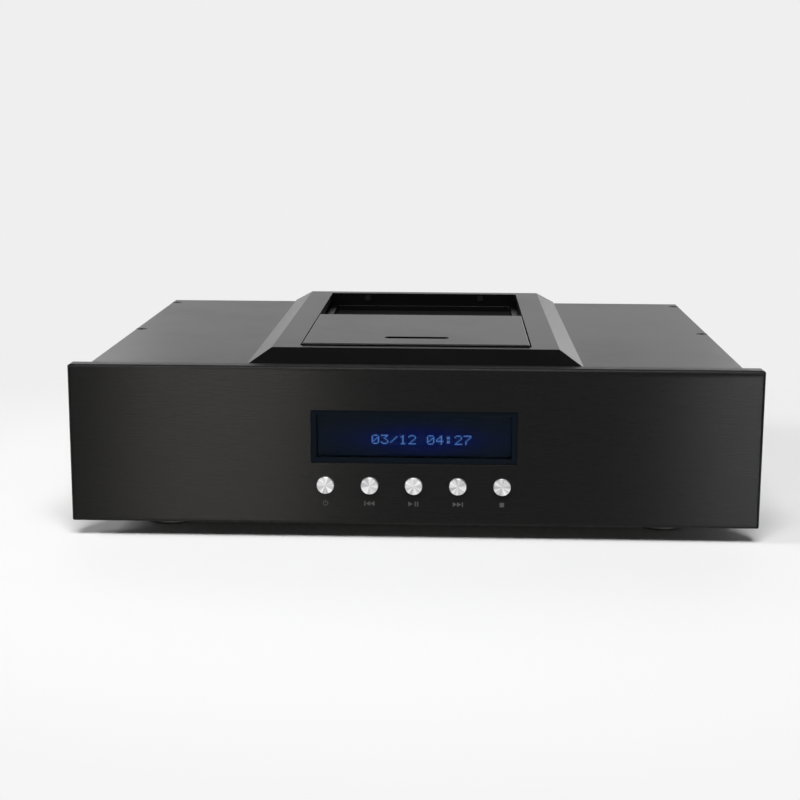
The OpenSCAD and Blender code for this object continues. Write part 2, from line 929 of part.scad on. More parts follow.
module corner_brackets() {
    color(c_steel) difference() {
        for (sx = [-1, 1], front = [true, false])
            translate([sx * inner_x, front ? case_y0 : rear_y0, bracket_z])
                linear_extrude(bracket_h)
                    mirror([sx > 0 ? 1 : 0, 0]) mirror([0, front ? 0 : 1]) {
                        square([bracket_leg, bracket_t]);
                        square([bracket_t, bracket_leg]);
                    }
        for (front = [true, false]) bracket_places(front)
            translate([0, 0, -bracket_t - cut]) cylinder(d = m4_d + 2 * screw_gap, h = bracket_t + 2 * cut);
        side_bracket_places()
            translate([0, 0, -bracket_t - cut]) cylinder(d = m4_d + 2 * screw_gap, h = bracket_t + 2 * cut);
    }
}

module bracket_screws() {
    color(c_steel) {
        bracket_places(true) pan_screw(m4_d, bracket_t + bracket_bite - screw_end_gap);
        bracket_places(false) pan_screw(m4_d, bracket_t + rear_bite);
        side_bracket_places() pan_screw(m4_d, bracket_t + bracket_bite - screw_end_gap);
    }
}

// Feet

module foot_places() {
    for (sx = [-1, 1], y = foot_y) translate([sx * foot_x, y, 0]) children();
}

module feet() {
    r = foot_d / 2;
    z1 = foot_h;
    pad_z = pad_t - pad_sink;
    waist = foot_h - foot_band;
    head = foot_screw_head_d / 2 + foot_head_gap;
    color(c_matt) foot_places() rotate_extrude() polygon([
        [foot_screw_d / 2 + screw_gap, z1],
        [r - foot_ease, z1],
        [r, z1 - foot_ease],
        [r, waist + foot_ease],
        [r - foot_waist, waist],
        [r - foot_waist, waist - foot_groove],
        [r, waist - foot_groove - foot_ease],
        [r, pad_z + foot_lip_ease],
        [r - foot_lip_ease, pad_z],
        [r - foot_wall, pad_z],
        [r - foot_wall, pad_t],
        [head, pad_t],
        [head, pad_t + foot_screw_head_h],
        [foot_screw_d / 2 + screw_gap, pad_t + foot_screw_head_h]
    ]);
}

module foot_pads() {
    r = foot_d / 2 - foot_wall - slip;
    color(c_rubber) foot_places() rotate_extrude() polygon([
        [pad_hole_d / 2, 0],
        [r - pad_ease, 0],
        [r, pad_ease],
        [r, pad_t],
        [pad_hole_d / 2, pad_t]
    ]);
}

module foot_screws() {
    z0 = pad_t + foot_screw_head_h;
    color(c_steel) foot_places() {
        translate([0, 0, pad_t]) cylinder(d = foot_screw_head_d, h = foot_screw_head_h);
        translate([0, 0, z0]) cylinder(d = foot_screw_d, h = base_z1 + foot_nut_h + foot_screw_end - z0);
        translate([0, 0, base_z1]) cylinder(d = foot_nut_af / cos(30), h = foot_nut_h, $fn = 6);
    }
}

// Sliding door

module disc_door() {
    body_h = door_z1 - door_z0;
    color(c_black) difference() {
        union() {
            bevel_block(door_w, door_y0, door_l, door_z0, body_h, body_h - door_chamfer, door_chamfer);
            translate([-bay_w / 2 - flange_w, door_y0, door_z0])
                cube([bay_w + 2 * flange_w, door_l, flange_t]);
        }
        translate([0, door_y0 + slot_inset, door_z1 - slot_depth]) linear_extrude(slot_depth + cut)
            stadium(slot_l, slot_w);
        translate([0, (door_y0 + door_y1) / 2, door_z0 - cut]) linear_extrude(body_h - door_pocket_t + cut)
            rounded_rect(
                bay_w - 2 * (slide_ledge + door_pocket_wall),
                door_l - 2 * door_pocket_wall,
                door_pocket_corner
            );
        translate([magnet_x, door_y0 + magnet_inset, door_z0 - cut])
            cylinder(d = magnet_d + 2 * thread_gap, h = magnet_h + cut);
    }
}

module door_slides() {
    color(c_matt) for (sx = [-1, 1])
        translate([sx * (bay_w / 2 + flange_w - strip_w / 2) - strip_w / 2, door_y0, top_z + slide_gap])
            cube([strip_w, door_l, strip_t]);
}

module door_magnet() {
    color(c_steel) translate([magnet_x, door_y0 + magnet_inset, door_z0])
        cylinder(d = magnet_d, h = magnet_h);
}

module door_sensor() {
    color(c_matt) translate([magnet_x - sensor_w / 2, door_y0 + magnet_inset - sensor_d / 2, deck_z])
        cube([sensor_w, sensor_d, top_t - sensor_gap]);
}

// Disc well and drive

module drive_post_places() {
    for (sx = [-1, 1], y = [drive_y0 + post_inset, drive_y1 - post_inset])
        translate([sx * post_x, y, 0]) children();
}

// Underside of the deck at a drive post: the cup's floor near the disc's axis, or the flange
function post_top(y) =
    norm([post_x, y - disc_y]) < well_d / 2 ? well_z - deck_t : deck_z - deck_t;

module deck_cup(grow, z0, z1) {
    translate([0, disc_y, z0]) cylinder(d = well_d + 2 * grow, h = z1 - z0);
}

module finger_notches(grow, z0, z1) {
    for (sx = [-1, 1]) translate([sx * notch_x, disc_y, z0]) cylinder(d = notch_d + 2 * grow, h = z1 - z0);
}

module well_deck() {
    y0 = bay_y0 - deck_margin_y;
    l = bay_l + 2 * deck_margin_y;
    color(c_matt) difference() {
        union() {
            translate([0, y0 + l / 2, deck_z - deck_t]) linear_extrude(deck_t)
                rounded_rect(deck_w, l, deck_corner);
            deck_cup(deck_t, well_z - deck_t, deck_z);
            finger_notches(deck_t, well_z + notch_rise - deck_t, deck_z);
        }
        deck_cup(0, well_z, deck_z + cut);
        finger_notches(0, well_z + notch_rise, deck_z + cut);
        translate([0, disc_y, well_z - deck_t - cut]) cylinder(d = turntable_hole_d, h = deck_t + 2 * cut);
        translate([-laser_slot_w / 2, disc_y, well_z - deck_t - cut])
            cube([laser_slot_w, lens_reach, deck_t + 2 * cut]);
        surround_screw_places() translate([0, 0, deck_z - deck_t - cut])
            cylinder(d = m4_d + 2 * screw_gap, h = deck_t + 2 * cut);
    }
}

module drive_base() {
    through = drive_t + 2 * cut;
    color(c_steel) difference() {
        union() {
            translate([-drive_w / 2, drive_y0, drive_z0]) cube([drive_w, drive_y1 - drive_y0, drive_t]);
            for (sx = [-1, 1], y = [rod_y0, rod_y1 - lug_l])
                translate([sx * rod_x - lug_w / 2, y, drive_z1 - weld])
                    cube([lug_w, lug_l, rod_z - drive_z1 + rod_d / 2 + lug_wall]);
            translate([gear_x, gear_y, drive_z1 - weld])
                cylinder(d = axle_d, h = gear_z - drive_z1 + wheel_t + gear_pinion_t + axle_end);
        }
        for (sx = [-1, 1])
            y_cylinder(sx * rod_x, rod_y0 - cut, rod_z, rod_d + 2 * thread_gap, rod_y1 - rod_y0 + 2 * cut);
        translate([0, 0, drive_z0 - cut]) {
            drive_post_places() cylinder(d = damper_neck_d, h = through);
            translate([0, disc_y]) cylinder(d = motor_boss_d + 2 * thread_gap, h = through);
            translate([gear_x, pinion_y]) cylinder(d = sled_boss_d + 2 * thread_gap, h = through);
        }
    }
}

module drive_posts() {
    color(c_steel) for (sx = [-1, 1], y = [drive_y0 + post_inset, drive_y1 - post_inset]) {
        z0 = drive_z0 - damper_flange;
        translate([sx * post_x, y, z0 - post_foot_h]) {
            cylinder(d = post_d, h = post_top(y) - z0 + post_foot_h);
            cylinder(d = damper_d - 2 * post_foot_in, h = post_foot_h);
        }
    }
}

module drive_dampers() {
    bore = post_d / 2 + thread_gap;
    neck = damper_neck_d / 2 - thread_gap;
    rim = damper_d / 2;
    color(c_rubber) drive_post_places() rotate_extrude() polygon([
        [bore, drive_z0 - damper_flange],
        [rim, drive_z0 - damper_flange],
        [rim, drive_z0],
        [neck, drive_z0],
        [neck, drive_z1],
        [rim, drive_z1],
        [rim, drive_z1 + damper_flange],
        [bore, drive_z1 + damper_flange]
    ]);
}

module guide_rods() {
    color(c_silver) for (sx = [-1, 1]) y_cylinder(sx * rod_x, rod_y0, rod_z, rod_d, rod_y1 - rod_y0);
}

module spindle_motor() {
    color(c_steel) translate([0, disc_y, 0]) difference() {
        union() {
            translate([0, 0, drive_z0 - motor_h]) cylinder(d = motor_d, h = motor_h);
            translate([0, 0, drive_z0 - weld]) cylinder(d = motor_boss_d, h = drive_t + motor_boss_out);
        }
        translate([0, 0, drive_z0 - shaft_deep - shaft_end_gap])
            cylinder(d = shaft_d + 2 * running, h = shaft_deep + shaft_end_gap + drive_t + 2 * cut);
    }
}

module sled_motor() {
    color(c_steel) translate([gear_x, pinion_y, 0]) difference() {
        union() {
            translate([0, 0, drive_z0 - sled_motor_h]) cylinder(d = sled_motor_d, h = sled_motor_h);
            translate([0, 0, drive_z0 - weld]) cylinder(d = sled_boss_d, h = drive_t);
        }
        translate([0, 0, drive_z0 - sled_shaft_deep - shaft_end_gap])
            cylinder(d = sled_shaft_d + 2 * running, h = sled_shaft_deep + shaft_end_gap + drive_t + 2 * cut);
    }
}

module spindle_shaft() {
    color(c_silver) translate([0, disc_y, drive_z0 - shaft_deep])
        cylinder(d = shaft_d, h = disc_z + shaft_up - drive_z0 + shaft_deep);
}

// Turntable: hub, rim that the disc rests on, and the cone that centres it
module turntable() {
    rim = turntable_d / 2;
    cone = cone_d / 2;
    bore = shaft_d / 2 + seat_gap;
    color(c_matt) translate([0, disc_y, 0]) rotate_extrude() polygon([
        [bore, disc_z - hub_drop],
        [hub_d / 2, disc_z - hub_drop],
        [hub_d / 2, disc_z - turntable_t],
        [rim, disc_z - turntable_t],
        [rim, disc_z - turntable_ease],
        [rim - turntable_ease, disc_z],
        [cone + cone_moat_w, disc_z],
        [cone + cone_moat_w, disc_z - cone_moat],
        [cone, disc_z - cone_moat],
        [cone, disc_z + cone_lip],
        [cone - cone_taper, disc_z + cone_h],
        [bore, disc_z + cone_h]
    ]);
}

// Clamp: a weighted cap with a waist to grip and a dished top, hollow over the cone
module disc_clamp() {
    r = clamp_d / 2;
    grip = r - clamp_grip_in;
    land = grip - clamp_land;
    dimple = clamp_dimple_d / 2;
    hollow = cone_d / 2 + clamp_gap;
    color(c_silver) translate([0, disc_y, disc_z]) rotate_extrude() polygon([
        [hollow, 0],
        [r - clamp_ease, 0],
        [r, clamp_ease],
        [r, clamp_rim_h - clamp_shoulder],
        [r - clamp_shoulder, clamp_rim_h],
        [grip + clamp_ease, clamp_rim_h],
        [grip, clamp_rim_h + clamp_ease],
        [grip, clamp_h - clamp_top_ease],
        [grip - clamp_top_ease, clamp_h],
        [land, clamp_h],
        [land - clamp_dish, clamp_h - clamp_dish],
        [dimple + clamp_dish, clamp_h - clamp_dish],
        [dimple, clamp_h - clamp_dimple],
        [0, clamp_h - clamp_dimple],
        [0, clamp_rim_h],
        [hollow, clamp_rim_h]
    ]);
}

module laser_sled() {
    lens_y = disc_y + lens_home;
    color(c_matt) difference() {
        union() {
            translate([-sled_w / 2, sled_y0, sled_z0]) cube([sled_w, sled_y1 - sled_y0, sled_z1 - sled_z0]);
            translate([belly_in - rod_x, sled_y0 + belly_end, drive_z1 + belly_gap])
                cube([2 * (rod_x - belly_in), sled_y1 - sled_y0 - 2 * belly_end, sled_z0 - drive_z1]);
            for (y = [sled_y0, sled_y1 - bearing_l])
                y_cylinder(-rod_x, y, rod_z, rod_d + 2 * bearing_wall, bearing_l);
            translate([-head_w / 2, lens_y - head_inner, sled_z1 - weld])
                cube([head_w, head_inner + head_outer, disc_z - head_clear - sled_z1]);
            translate([rack_x, gear_y, gear_z + wheel_t + rack_gap]) linear_extrude(rack_t)
                rack_outline(rack_module, -rack_run + rack_lead, rack_lead, rack_x - sled_w / 2 + rack_root);
        }
        y_cylinder(-rod_x, sled_y0 - cut, rod_z, rod_d + 2 * running, sled_y1 - sled_y0 + 2 * cut);
        y_cylinder(rod_x, sled_y0 - cut, rod_z, rod_d + 2 * screw_gap, sled_y1 - sled_y0 + 2 * cut);
        translate([0, lens_y, disc_z - lens_seat]) cylinder(d = lens_d + 2 * thread_gap, h = lens_seat);
    }
}

// Objective lens: a domed disc in its seat
module objective_lens() {
    r = lens_d / 2;
    color("#8fb8d8") translate([0, disc_y + lens_home, disc_z - lens_seat]) rotate_extrude() polygon(concat(
        [[0, 0], [r, 0], [r, lens_rim]],
        [for (a = [0 : 15 : 90]) [r * cos(a) * lens_dome_share, lens_rim + lens_dome * sin(a)]]
    ));
}

module sled_gear() {
    color("#e6e2d6") translate([gear_x, gear_y, gear_z]) difference() {
        union() {
            linear_extrude(wheel_t) rotate(90 + 180 / wheel_teeth) gear_outline(wheel_module, wheel_teeth);
            translate([0, 0, wheel_t - weld]) linear_extrude(gear_pinion_t)
                rotate(180 + 180 / rack_teeth) gear_outline(rack_module, rack_teeth);
        }
        translate([0, 0, -cut]) cylinder(d = axle_d + 2 * running, h = wheel_t + gear_pinion_t + 2 * cut);
    }
}

module motor_pinion() {
    color(c_gold) translate([gear_x, pinion_y, gear_z]) {
        linear_extrude(pinion_t) rotate(-90) gear_outline(wheel_module, pinion_teeth);
        translate([0, 0, drive_z0 - sled_shaft_deep - gear_z])
            cylinder(d = sled_shaft_d, h = gear_z - drive_z0 + sled_shaft_deep + weld);
    }
}

// Electronics on the bottom plate

module transformer() {
    r = toroid_d / 2;
    bore = toroid_bore / 2;
    color("#3a3f45") translate([-column_x, toroid_y, base_z1 + toroid_pad]) rotate_extrude() {
        translate([(r + bore) / 2, toroid_h / 2]) rounded_rect(r - bore, toroid_h, toroid_round);
    }
}

// Bolt from under the bottom plate, with a dished washer and a nut over the transformer
module transformer_bolt() {
    z1 = base_z1 + 2 * toroid_pad + toroid_h;
    color(c_steel) translate([-column_x, toroid_y, 0]) {
        translate([0, 0, base_z0 - toroid_head_h]) cylinder(d = toroid_head_d, h = toroid_head_h);
        translate([0, 0, base_z0 - weld]) cylinder(d = toroid_bolt_d, h = z1 - base_z0 + toroid_washer_h);
        translate([0, 0, z1]) cylinder(d = toroid_washer_d, h = toroid_washer_h);
        translate([0, 0, z1 + toroid_washer_h - weld])
            cylinder(d = 2 * toroid_bolt_d, h = toroid_nut_h, $fn = 6);
    }
}

module transformer_pads() {
    color(c_rubber) translate([-column_x, toroid_y, 0]) for (z = [base_z1, base_z1 + toroid_pad + toroid_h])
        translate([0, 0, z]) difference() {
            cylinder(d = toroid_washer_d + 2 * toroid_pad, h = toroid_pad);
            translate([0, 0, -cut]) cylinder(d = toroid_bolt_d + 2 * screw_gap, h = toroid_pad + 2 * cut);
        }
}

// Corners of a board in a side column
module board_corners(sx, y0, y1) {
    for (dx = [-1, 1], y = [y0 + standoff_inset, y1 - standoff_inset])
        translate([sx * column_x + dx * (column_w / 2 - standoff_inset), y, 0]) children();
}

module side_board(sx, y0, y1) {
    color(c_board) difference() {
        translate([sx * column_x - column_w / 2, y0, board_z]) cube([column_w, y1 - y0, board_t]);
        board_corners(sx, y0, y1) translate([0, 0, board_z - cut])
            cylinder(d = board_hole_d, h = board_t + 2 * cut);
    }
}

module board_standoffs() {
    color(c_gold) {
        translate([0, 0, base_z1]) {
            board_corners(-1, power_y0, power_y1) cylinder(d = standoff_d, h = standoff_h);
            board_corners(1, main_y0, main_y1) cylinder(d = standoff_d, h = standoff_h);
        }
        control_spacer_places() y_cylinder(0, panel_t, 0, standoff_d, control_y - panel_t);
    }
}

module capacitors() {
    color("#23292f") for (dx = [-1, 1], i = [0 : cap_rows - 1])
        translate([
            -column_x + dx * cap_pitch / 2,
            power_y0 + (i + 0.5) * cap_room / cap_rows,
            board_z + board_t
        ]) cylinder(d = cap_d, h = cap_h);
}

module heat_sinks() {
    fin_pitch = (sink_w - fin_t) / (fin_count - 1);
    color(c_matt) for (dx = [-1, 1])
        translate([
            -column_x + dx * (sink_w + sink_gap) / 2 - sink_w / 2,
            power_y1 - sink_inset,
            board_z + board_t
        ]) linear_extrude(sink_h) {
            square([sink_w, sink_back]);
            for (i = [0 : fin_count - 1]) translate([i * fin_pitch, 0]) square([fin_t, sink_d]);
        }
}

module main_chips() {
    z = board_z + board_t;
    y = (main_y0 + main_y1) / 2;
    color(c_matt) {
        translate([column_x - processor_w / 2, y - 3 * processor_w, z])
            cube([processor_w, processor_w, processor_h]);
        for (sx = [-1, 1]) translate([column_x + sx * chip_spread - chip_w / 2, y - processor_w, z])
            cube([chip_w, chip_d, chip_h]);
        translate([column_x - clock_can_w / 2, y + chip_d, z]) cube([clock_can_w, clock_can_d, clock_can_h]);
        for (sx = [-1, 1]) translate([column_x + sx * chip_spread - relay_w / 2, y + 3 * processor_w, z])
            cube([relay_w, relay_d, relay_h]);
    }
}

// Sockets on the rear panel

module inlet_profile(grow) {
    w = inlet_w / 2 + grow;
    h = inlet_h / 2 + grow;
    polygon([
        [-w, -h], [w, -h], [w, h - inlet_slope],
        [w - inlet_slope, h], [inlet_slope - w, h], [-w, h - inlet_slope]
    ]);
}

module mains_inlet() {
    color(c_matt) translate([inlet_x, 0, socket_z]) difference() {
        union() {
            along_y(case_y1 - inlet_deep, inlet_deep) inlet_profile(0);
            along_y(case_y1, flange_out) rounded_rect(inlet_flange_w, inlet_flange_h, inlet_corner);
        }
        along_y(case_y1 + flange_out - inlet_cavity, inlet_cavity + cut) inlet_profile(-inlet_wall);
        for (x = [-inlet_pin_x, 0, inlet_pin_x])
            translate([
                x - inlet_pin_w / 2 - thread_gap,
                case_y1 - inlet_deep - cut,
                inlet_pin_z(x) - inlet_pin_h / 2 - thread_gap
            ]) cube([inlet_pin_w + 2 * thread_gap, inlet_deep, inlet_pin_h + 2 * thread_gap]);
    }
}

function inlet_pin_z(x) = x == 0 ? inlet_pin_up : -inlet_pin_up;

module switch_housing() {
    color(c_matt) translate([switch_x, 0, socket_z]) difference() {
        union() {
            along_y(case_y1 - switch_deep, switch_deep) square([switch_w, switch_h], center = true);
            along_y(case_y1, flange_out)
                rounded_rect(switch_w + 2 * switch_rim, switch_h + 2 * switch_rim, switch_corner);
        }
        translate([-rocker_w / 2 - slip, rocker_y - rocker_r - rocker_end_gap, -rocker_room])
            cube([rocker_w + 2 * slip, switch_deep, 2 * rocker_room]);
        translate([-rocker_w / 2 - rocker_pivot_out - slip, rocker_y, 0]) rotate([0, 90, 0])
            cylinder(d = rocker_pivot_d + 2 * running, h = rocker_w + 2 * (rocker_pivot_out + slip));
    }
}

// Rocker, drawn level about its pivot and then tipped to one end of its swing
module mains_rocker() {
    color(c_matt) translate([switch_x, rocker_y, socket_z]) rotate([rocker_swing / 2, 0, 0]) {
        along_x(-rocker_w / 2, rocker_w) intersection() {
            polygon([
                [-rocker_back, -rocker_tail], [-rocker_back, rocker_tail], [0, rocker_h / 2],
                [rocker_reach, rocker_h / 2], [rocker_reach - rocker_out, 0],
                [rocker_reach, -rocker_h / 2], [0, -rocker_h / 2]
            ]);
            circle(r = rocker_tip);
        }
        translate([-rocker_w / 2 - rocker_pivot_out, 0, 0]) rotate([0, 90, 0])
            cylinder(d = rocker_pivot_d, h = rocker_w + 2 * rocker_pivot_out);
    }
}

module balanced_pin_places() {
    for (a = [-30, 90, 210]) translate([balanced_pin_r * cos(a), 0, balanced_pin_r * sin(a)]) children();
}

module balanced_socket() {
    color(c_steel) translate([balanced_x, 0, socket_z]) difference() {
        union() {
            y_cylinder(0, balanced_y0, 0, balanced_shell_d, case_y1 - balanced_y0);
            along_y(case_y1, flange_out) rounded_rect(balanced_flange_w, balanced_flange_h, balanced_corner);
        }
        y_cylinder(0, case_y1 - balanced_deep + flange_out, 0, balanced_cavity_d, balanced_deep + cut);
        balanced_pin_places()
            y_cylinder(0, balanced_pin_y, 0, balanced_pin_d + 2 * thread_gap, 2 * pin_tail);
    }
}

// Contact pins of the mains inlet and of the balanced socket
module socket_pins() {
    color(c_silver) {
        for (x = [-inlet_pin_x, 0, inlet_pin_x])
            along_y(inlet_pin_y, inlet_deep + pin_tail - pin_in)
                translate([inlet_x + x, socket_z + inlet_pin_z(x)])
                    square([inlet_pin_w, inlet_pin_h], center = true);
        translate([balanced_x, 0, socket_z]) balanced_pin_places()
            y_cylinder(0, balanced_pin_y, 0, balanced_pin_d, balanced_deep + pin_tail - pin_in);
    }
}

// Bayonet socket with two lugs on its barrel
module clock_socket() {
    color(c_silver) translate([clock_x, 0, socket_z]) difference() {
        union() {
            y_cylinder(0, case_y1 - socket_body_l, 0, socket_body_d, socket_body_l);
            y_cylinder(0, case_y1 - weld, 0, clock_d, clock_l + weld);
            translate([0, case_y1, 0]) rotate([-90, 0, 0]) cylinder(d = clock_nut_d, h = flange_out, $fn = 6);
            translate([-clock_d / 2 - clock_lug_out, case_y1 + clock_l - clock_lug_back, 0]) rotate([0, 90, 0])
                cylinder(d = clock_lug_d, h = clock_d + 2 * clock_lug_out);
        }
        difference() {
            y_cylinder(0, case_y1 + flange_out, 0, clock_d - 2 * clock_wall, clock_l);
            y_cylinder(0, case_y1, 0, clock_core_d, clock_l - clock_core_back);
        }
        y_cylinder(0, case_y1 + clock_hole_floor, 0, clock_hole_d, clock_l);
    }
}

// Coaxial socket: a barrel, a recess for the insulator and the liner of the hole
module coax_socket() {
    color(c_gold) translate([coax_x, 0, socket_z]) difference() {
        union() {
            y_cylinder(0, case_y1 - socket_body_l, 0, socket_body_d, socket_body_l);
            y_cylinder(0, case_y1, 0, coax_flange_d, flange_out);
            y_cylinder(0, case_y1 + flange_out - weld, 0, coax_d, coax_l - flange_out + weld);
        }
        y_cylinder(0, case_y1 + flange_out, 0, coax_hole_d, coax_l);
        difference() {
            y_cylinder(0, case_y1 + coax_l - coax_recess, 0, coax_d - 2 * coax_wall, coax_recess + cut);
            y_cylinder(0, case_y1, 0, coax_hole_d + 2 * coax_liner, 2 * coax_l);
        }
    }
}

// Wiring

function unit(v) = v / norm(v);

// A route with each inner corner rounded by a quadratic curve, which reaches r or half a stretch
function soft_route(points, r) = [
    for (i = [0 : len(points) - 1])
        each (i == 0 || i == len(points) - 1) ? [points[i]] :
            let (
                back = points[i - 1] - points[i],
                on = points[i + 1] - points[i],
                reach = min(r, norm(back) / 2, norm(on) / 2),
                a = points[i] + reach * unit(back),
                b = points[i] + reach * unit(on)
            )
            [for (t = [0 : 0.25 : 1]) (1 - t) * (1 - t) * a + 2 * t * (1 - t) * points[i] + t * t * b]
];

// Rings of a tube: each is the one before, carried along its stretch to the mitre plane of the next point
function tube_rings(points, ring, i = 1) =
    i == len(points) ? [ring] :
    let (
        way = unit(points[i] - points[i - 1]),
        mitre = i == len(points) - 1 ? way : way + unit(points[i + 1] - points[i]),
        next = [for (q = ring) q + way * (((points[i] - q) * mitre) / (way * mitre))]
    )
    concat([ring], tube_rings(points, next, i + 1));

module wire(route, d) {
    sides = 8;
    points = soft_route(route, 2 * d);
    way = unit(points[1] - points[0]);
    across = unit(cross(way, abs(way[2]) < 0.9 ? [0, 0, 1] : [1, 0, 0]));
    up = cross(across, way);
    first = [
        for (k = [0 : sides - 1])
            let (p = polar(d / 2, k * 360 / sides))
            points[0] + across * p[0] + up * p[1]
    ];
    rings = tube_rings(points, first);
    count = len(rings);
    polyhedron(
        [for (ring = rings) each ring],
        concat(
            [[for (k = [0 : sides - 1]) k]],
            [
                for (i = [0 : count - 2], k = [0 : sides - 1])
                    let (a = i * sides + k, b = i * sides + (k + 1) % sides)
                    each [[a, a + sides, b], [b, a + sides, b + sides]]
            ],
            [[for (k = [sides - 1 : -1 : 0]) (count - 1) * sides + k]]
        )
    );
}

module wiring_loom() {
    board_top = board_z + board_t + wire_gap;
    over_board = board_top + wire_rise;
    floor_z = base_z1 + wire_d / 2 + wire_gap;
    crossing_z = floor_z + 2 * wire_d;
    back_y = inlet_pin_y - wire_rise;
    wall_x = inner_x - column_margin / 2;
    lane_x = deck_w / 2;
    left_end = column_x0 + standoff_inset;
    toroid_side = toroid_d / 2 + wire_gap;
    toroid_mid = base_z1 + toroid_pad + toroid_h / 2;
    power_y = (power_y0 + power_y1) / 2;
    drive_y = disc_y + hub_d;
    front_y = main_y0 + 3 * standoff_inset;
    control_back = control_y + control_t;
    control_end = control_w / 2 - wire_rise;
    out_y = main_y1 - 2 * standoff_inset;
    color("#26282c") {
        wire([
            [inlet_x + inlet_pin_x, inlet_pin_y - wire_gap, socket_z - inlet_pin_up],
            [inlet_x + inlet_pin_x, back_y, socket_z - inlet_pin_up],
            [switch_x, back_y, socket_z - inlet_pin_up],
            [switch_x, case_y1 - switch_deep - wire_gap, socket_z - inlet_pin_up]
        ], wire_d);
        wire([
            [switch_x, case_y1 - switch_deep - wire_gap, socket_z + inlet_pin_up],
            [switch_x, back_y, socket_z + inlet_pin_up],
            [-lane_x, back_y, socket_z + inlet_pin_up],
            [-lane_x, back_y, floor_z],
            [-lane_x, toroid_y, floor_z],
            [-lane_x, toroid_y, toroid_mid],
            [toroid_side - column_x, toroid_y, toroid_mid]
        ], wire_d);
        wire([
            [inlet_x - inlet_pin_x, inlet_pin_y - wire_gap, socket_z - inlet_pin_up],
            [inlet_x - inlet_pin_x, back_y, socket_z - inlet_pin_up],
            [-wall_x, back_y, socket_z - inlet_pin_up],
            [-wall_x, back_y, floor_z],
            [-wall_x, toroid_y, floor_z],
            [-wall_x, toroid_y, toroid_mid],
            [-column_x - toroid_side, toroid_y, toroid_mid]
        ], wire_d);
        wire([
            [-column_x, toroid_y + toroid_side, toroid_mid],
            [-column_x, power_y0 + standoff_inset, toroid_mid],
            [-column_x, power_y0 + standoff_inset, board_top]
        ], wire_d);
        wire([
            [-left_end, power_y, board_top], [-left_end, power_y, over_board],
            [-lane_x, power_y, over_board], [-lane_x, power_y, crossing_z],
            [lane_x, power_y, crossing_z], [lane_x, power_y, over_board],
            [left_end, power_y, over_board], [left_end, power_y, board_top]
        ], wire_d);
        wire([
            [left_end, drive_y, board_top], [left_end, drive_y, drive_z0 - motor_h],
            [drive_w / 2 - wire_d, drive_y, drive_z0 - motor_h],
            [drive_w / 2 - wire_d, drive_y, drive_z0 - wire_gap]
        ], wire_d);
        wire([
            [left_end, front_y, board_top], [left_end, front_y, over_board],
            [left_end, control_back + wire_rise, over_board],
            [control_end, control_back + wire_rise, over_board],
            [control_end, control_back + wire_gap, over_board]
        ], wire_d);
        for (x = [clock_x, coax_x]) wire([
            [x, out_y, board_top], [x, out_y, socket_z], [x, case_y1 - socket_body_l - wire_gap, socket_z]
        ], wire_d);
        wire([
            [left_end, out_y - wire_rise, board_top], [left_end, out_y - wire_rise, over_board],
            [balanced_x, out_y - wire_rise, over_board], [balanced_x, out_y - wire_rise, socket_z],
            [balanced_x, balanced_y0 - wire_gap, socket_z]
        ], wire_d);
    }
}

// Puts the origin under the middle of the part's box
module placed() {
    translate([0, -box_y, 0]) children();
}

placed() front_panel();
placed() display_window();
placed() display_glass();
placed() display_frame();
placed() control_board();
placed() tact_switches();
placed() push_button(0);  // standby_button
placed() push_button(1);  // previous_button
placed() push_button(2);  // play_button
placed() push_button(3);  // next_button
placed() push_button(4);  // stop_button
placed() top_plate();
placed() door_surround();
placed() side_panel(-1);  // side_panel_left
placed() side_panel(1);  // side_panel_right
placed() rear_panel();
placed() bottom_plate();
placed() corner_brackets();
placed() bracket_screws();
placed() case_screws();
placed() surround_screws();
placed() feet();
placed() foot_pads();
placed() foot_screws();
placed() disc_door();
placed() door_slides();
placed() door_magnet();
placed() door_bumpers();
placed() door_sensor();
placed() well_deck();
placed() drive_base();
placed() drive_posts();
placed() drive_dampers();
placed() guide_rods();
placed() spindle_motor();
placed() sled_motor();
placed() spindle_shaft();
placed() turntable();
placed() disc_clamp();
placed() laser_sled();
placed() objective_lens();
placed() sled_gear();
placed() motor_pinion();
placed() transformer();
placed() transformer_bolt();
placed() transformer_pads();
placed() side_board(-1, power_y0, power_y1);  // power_board
placed() capacitors();
placed() heat_sinks();
placed() side_board(1, main_y0, main_y1);  // main_board
placed() main_chips();
placed() board_standoffs();
placed() mains_inlet();
placed() switch_housing();
placed() mains_rocker();
placed() balanced_socket();
placed() clock_socket();
placed() coax_socket();
placed() socket_pins();
placed() wiring_loom();
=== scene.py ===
"""Looks of a top-loading disc transport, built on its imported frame.

Metres, with +Z up and the front facing -Y. The frame gives each piece its place and size. Each class
below dresses one sub-assembly of the transport, and main() builds them in order.
"""

import json
import logging
import math
from collections.abc import Sequence
from dataclasses import dataclass
from enum import Enum

import bmesh
import bpy
import numpy as np
from mathutils import Matrix, Vector


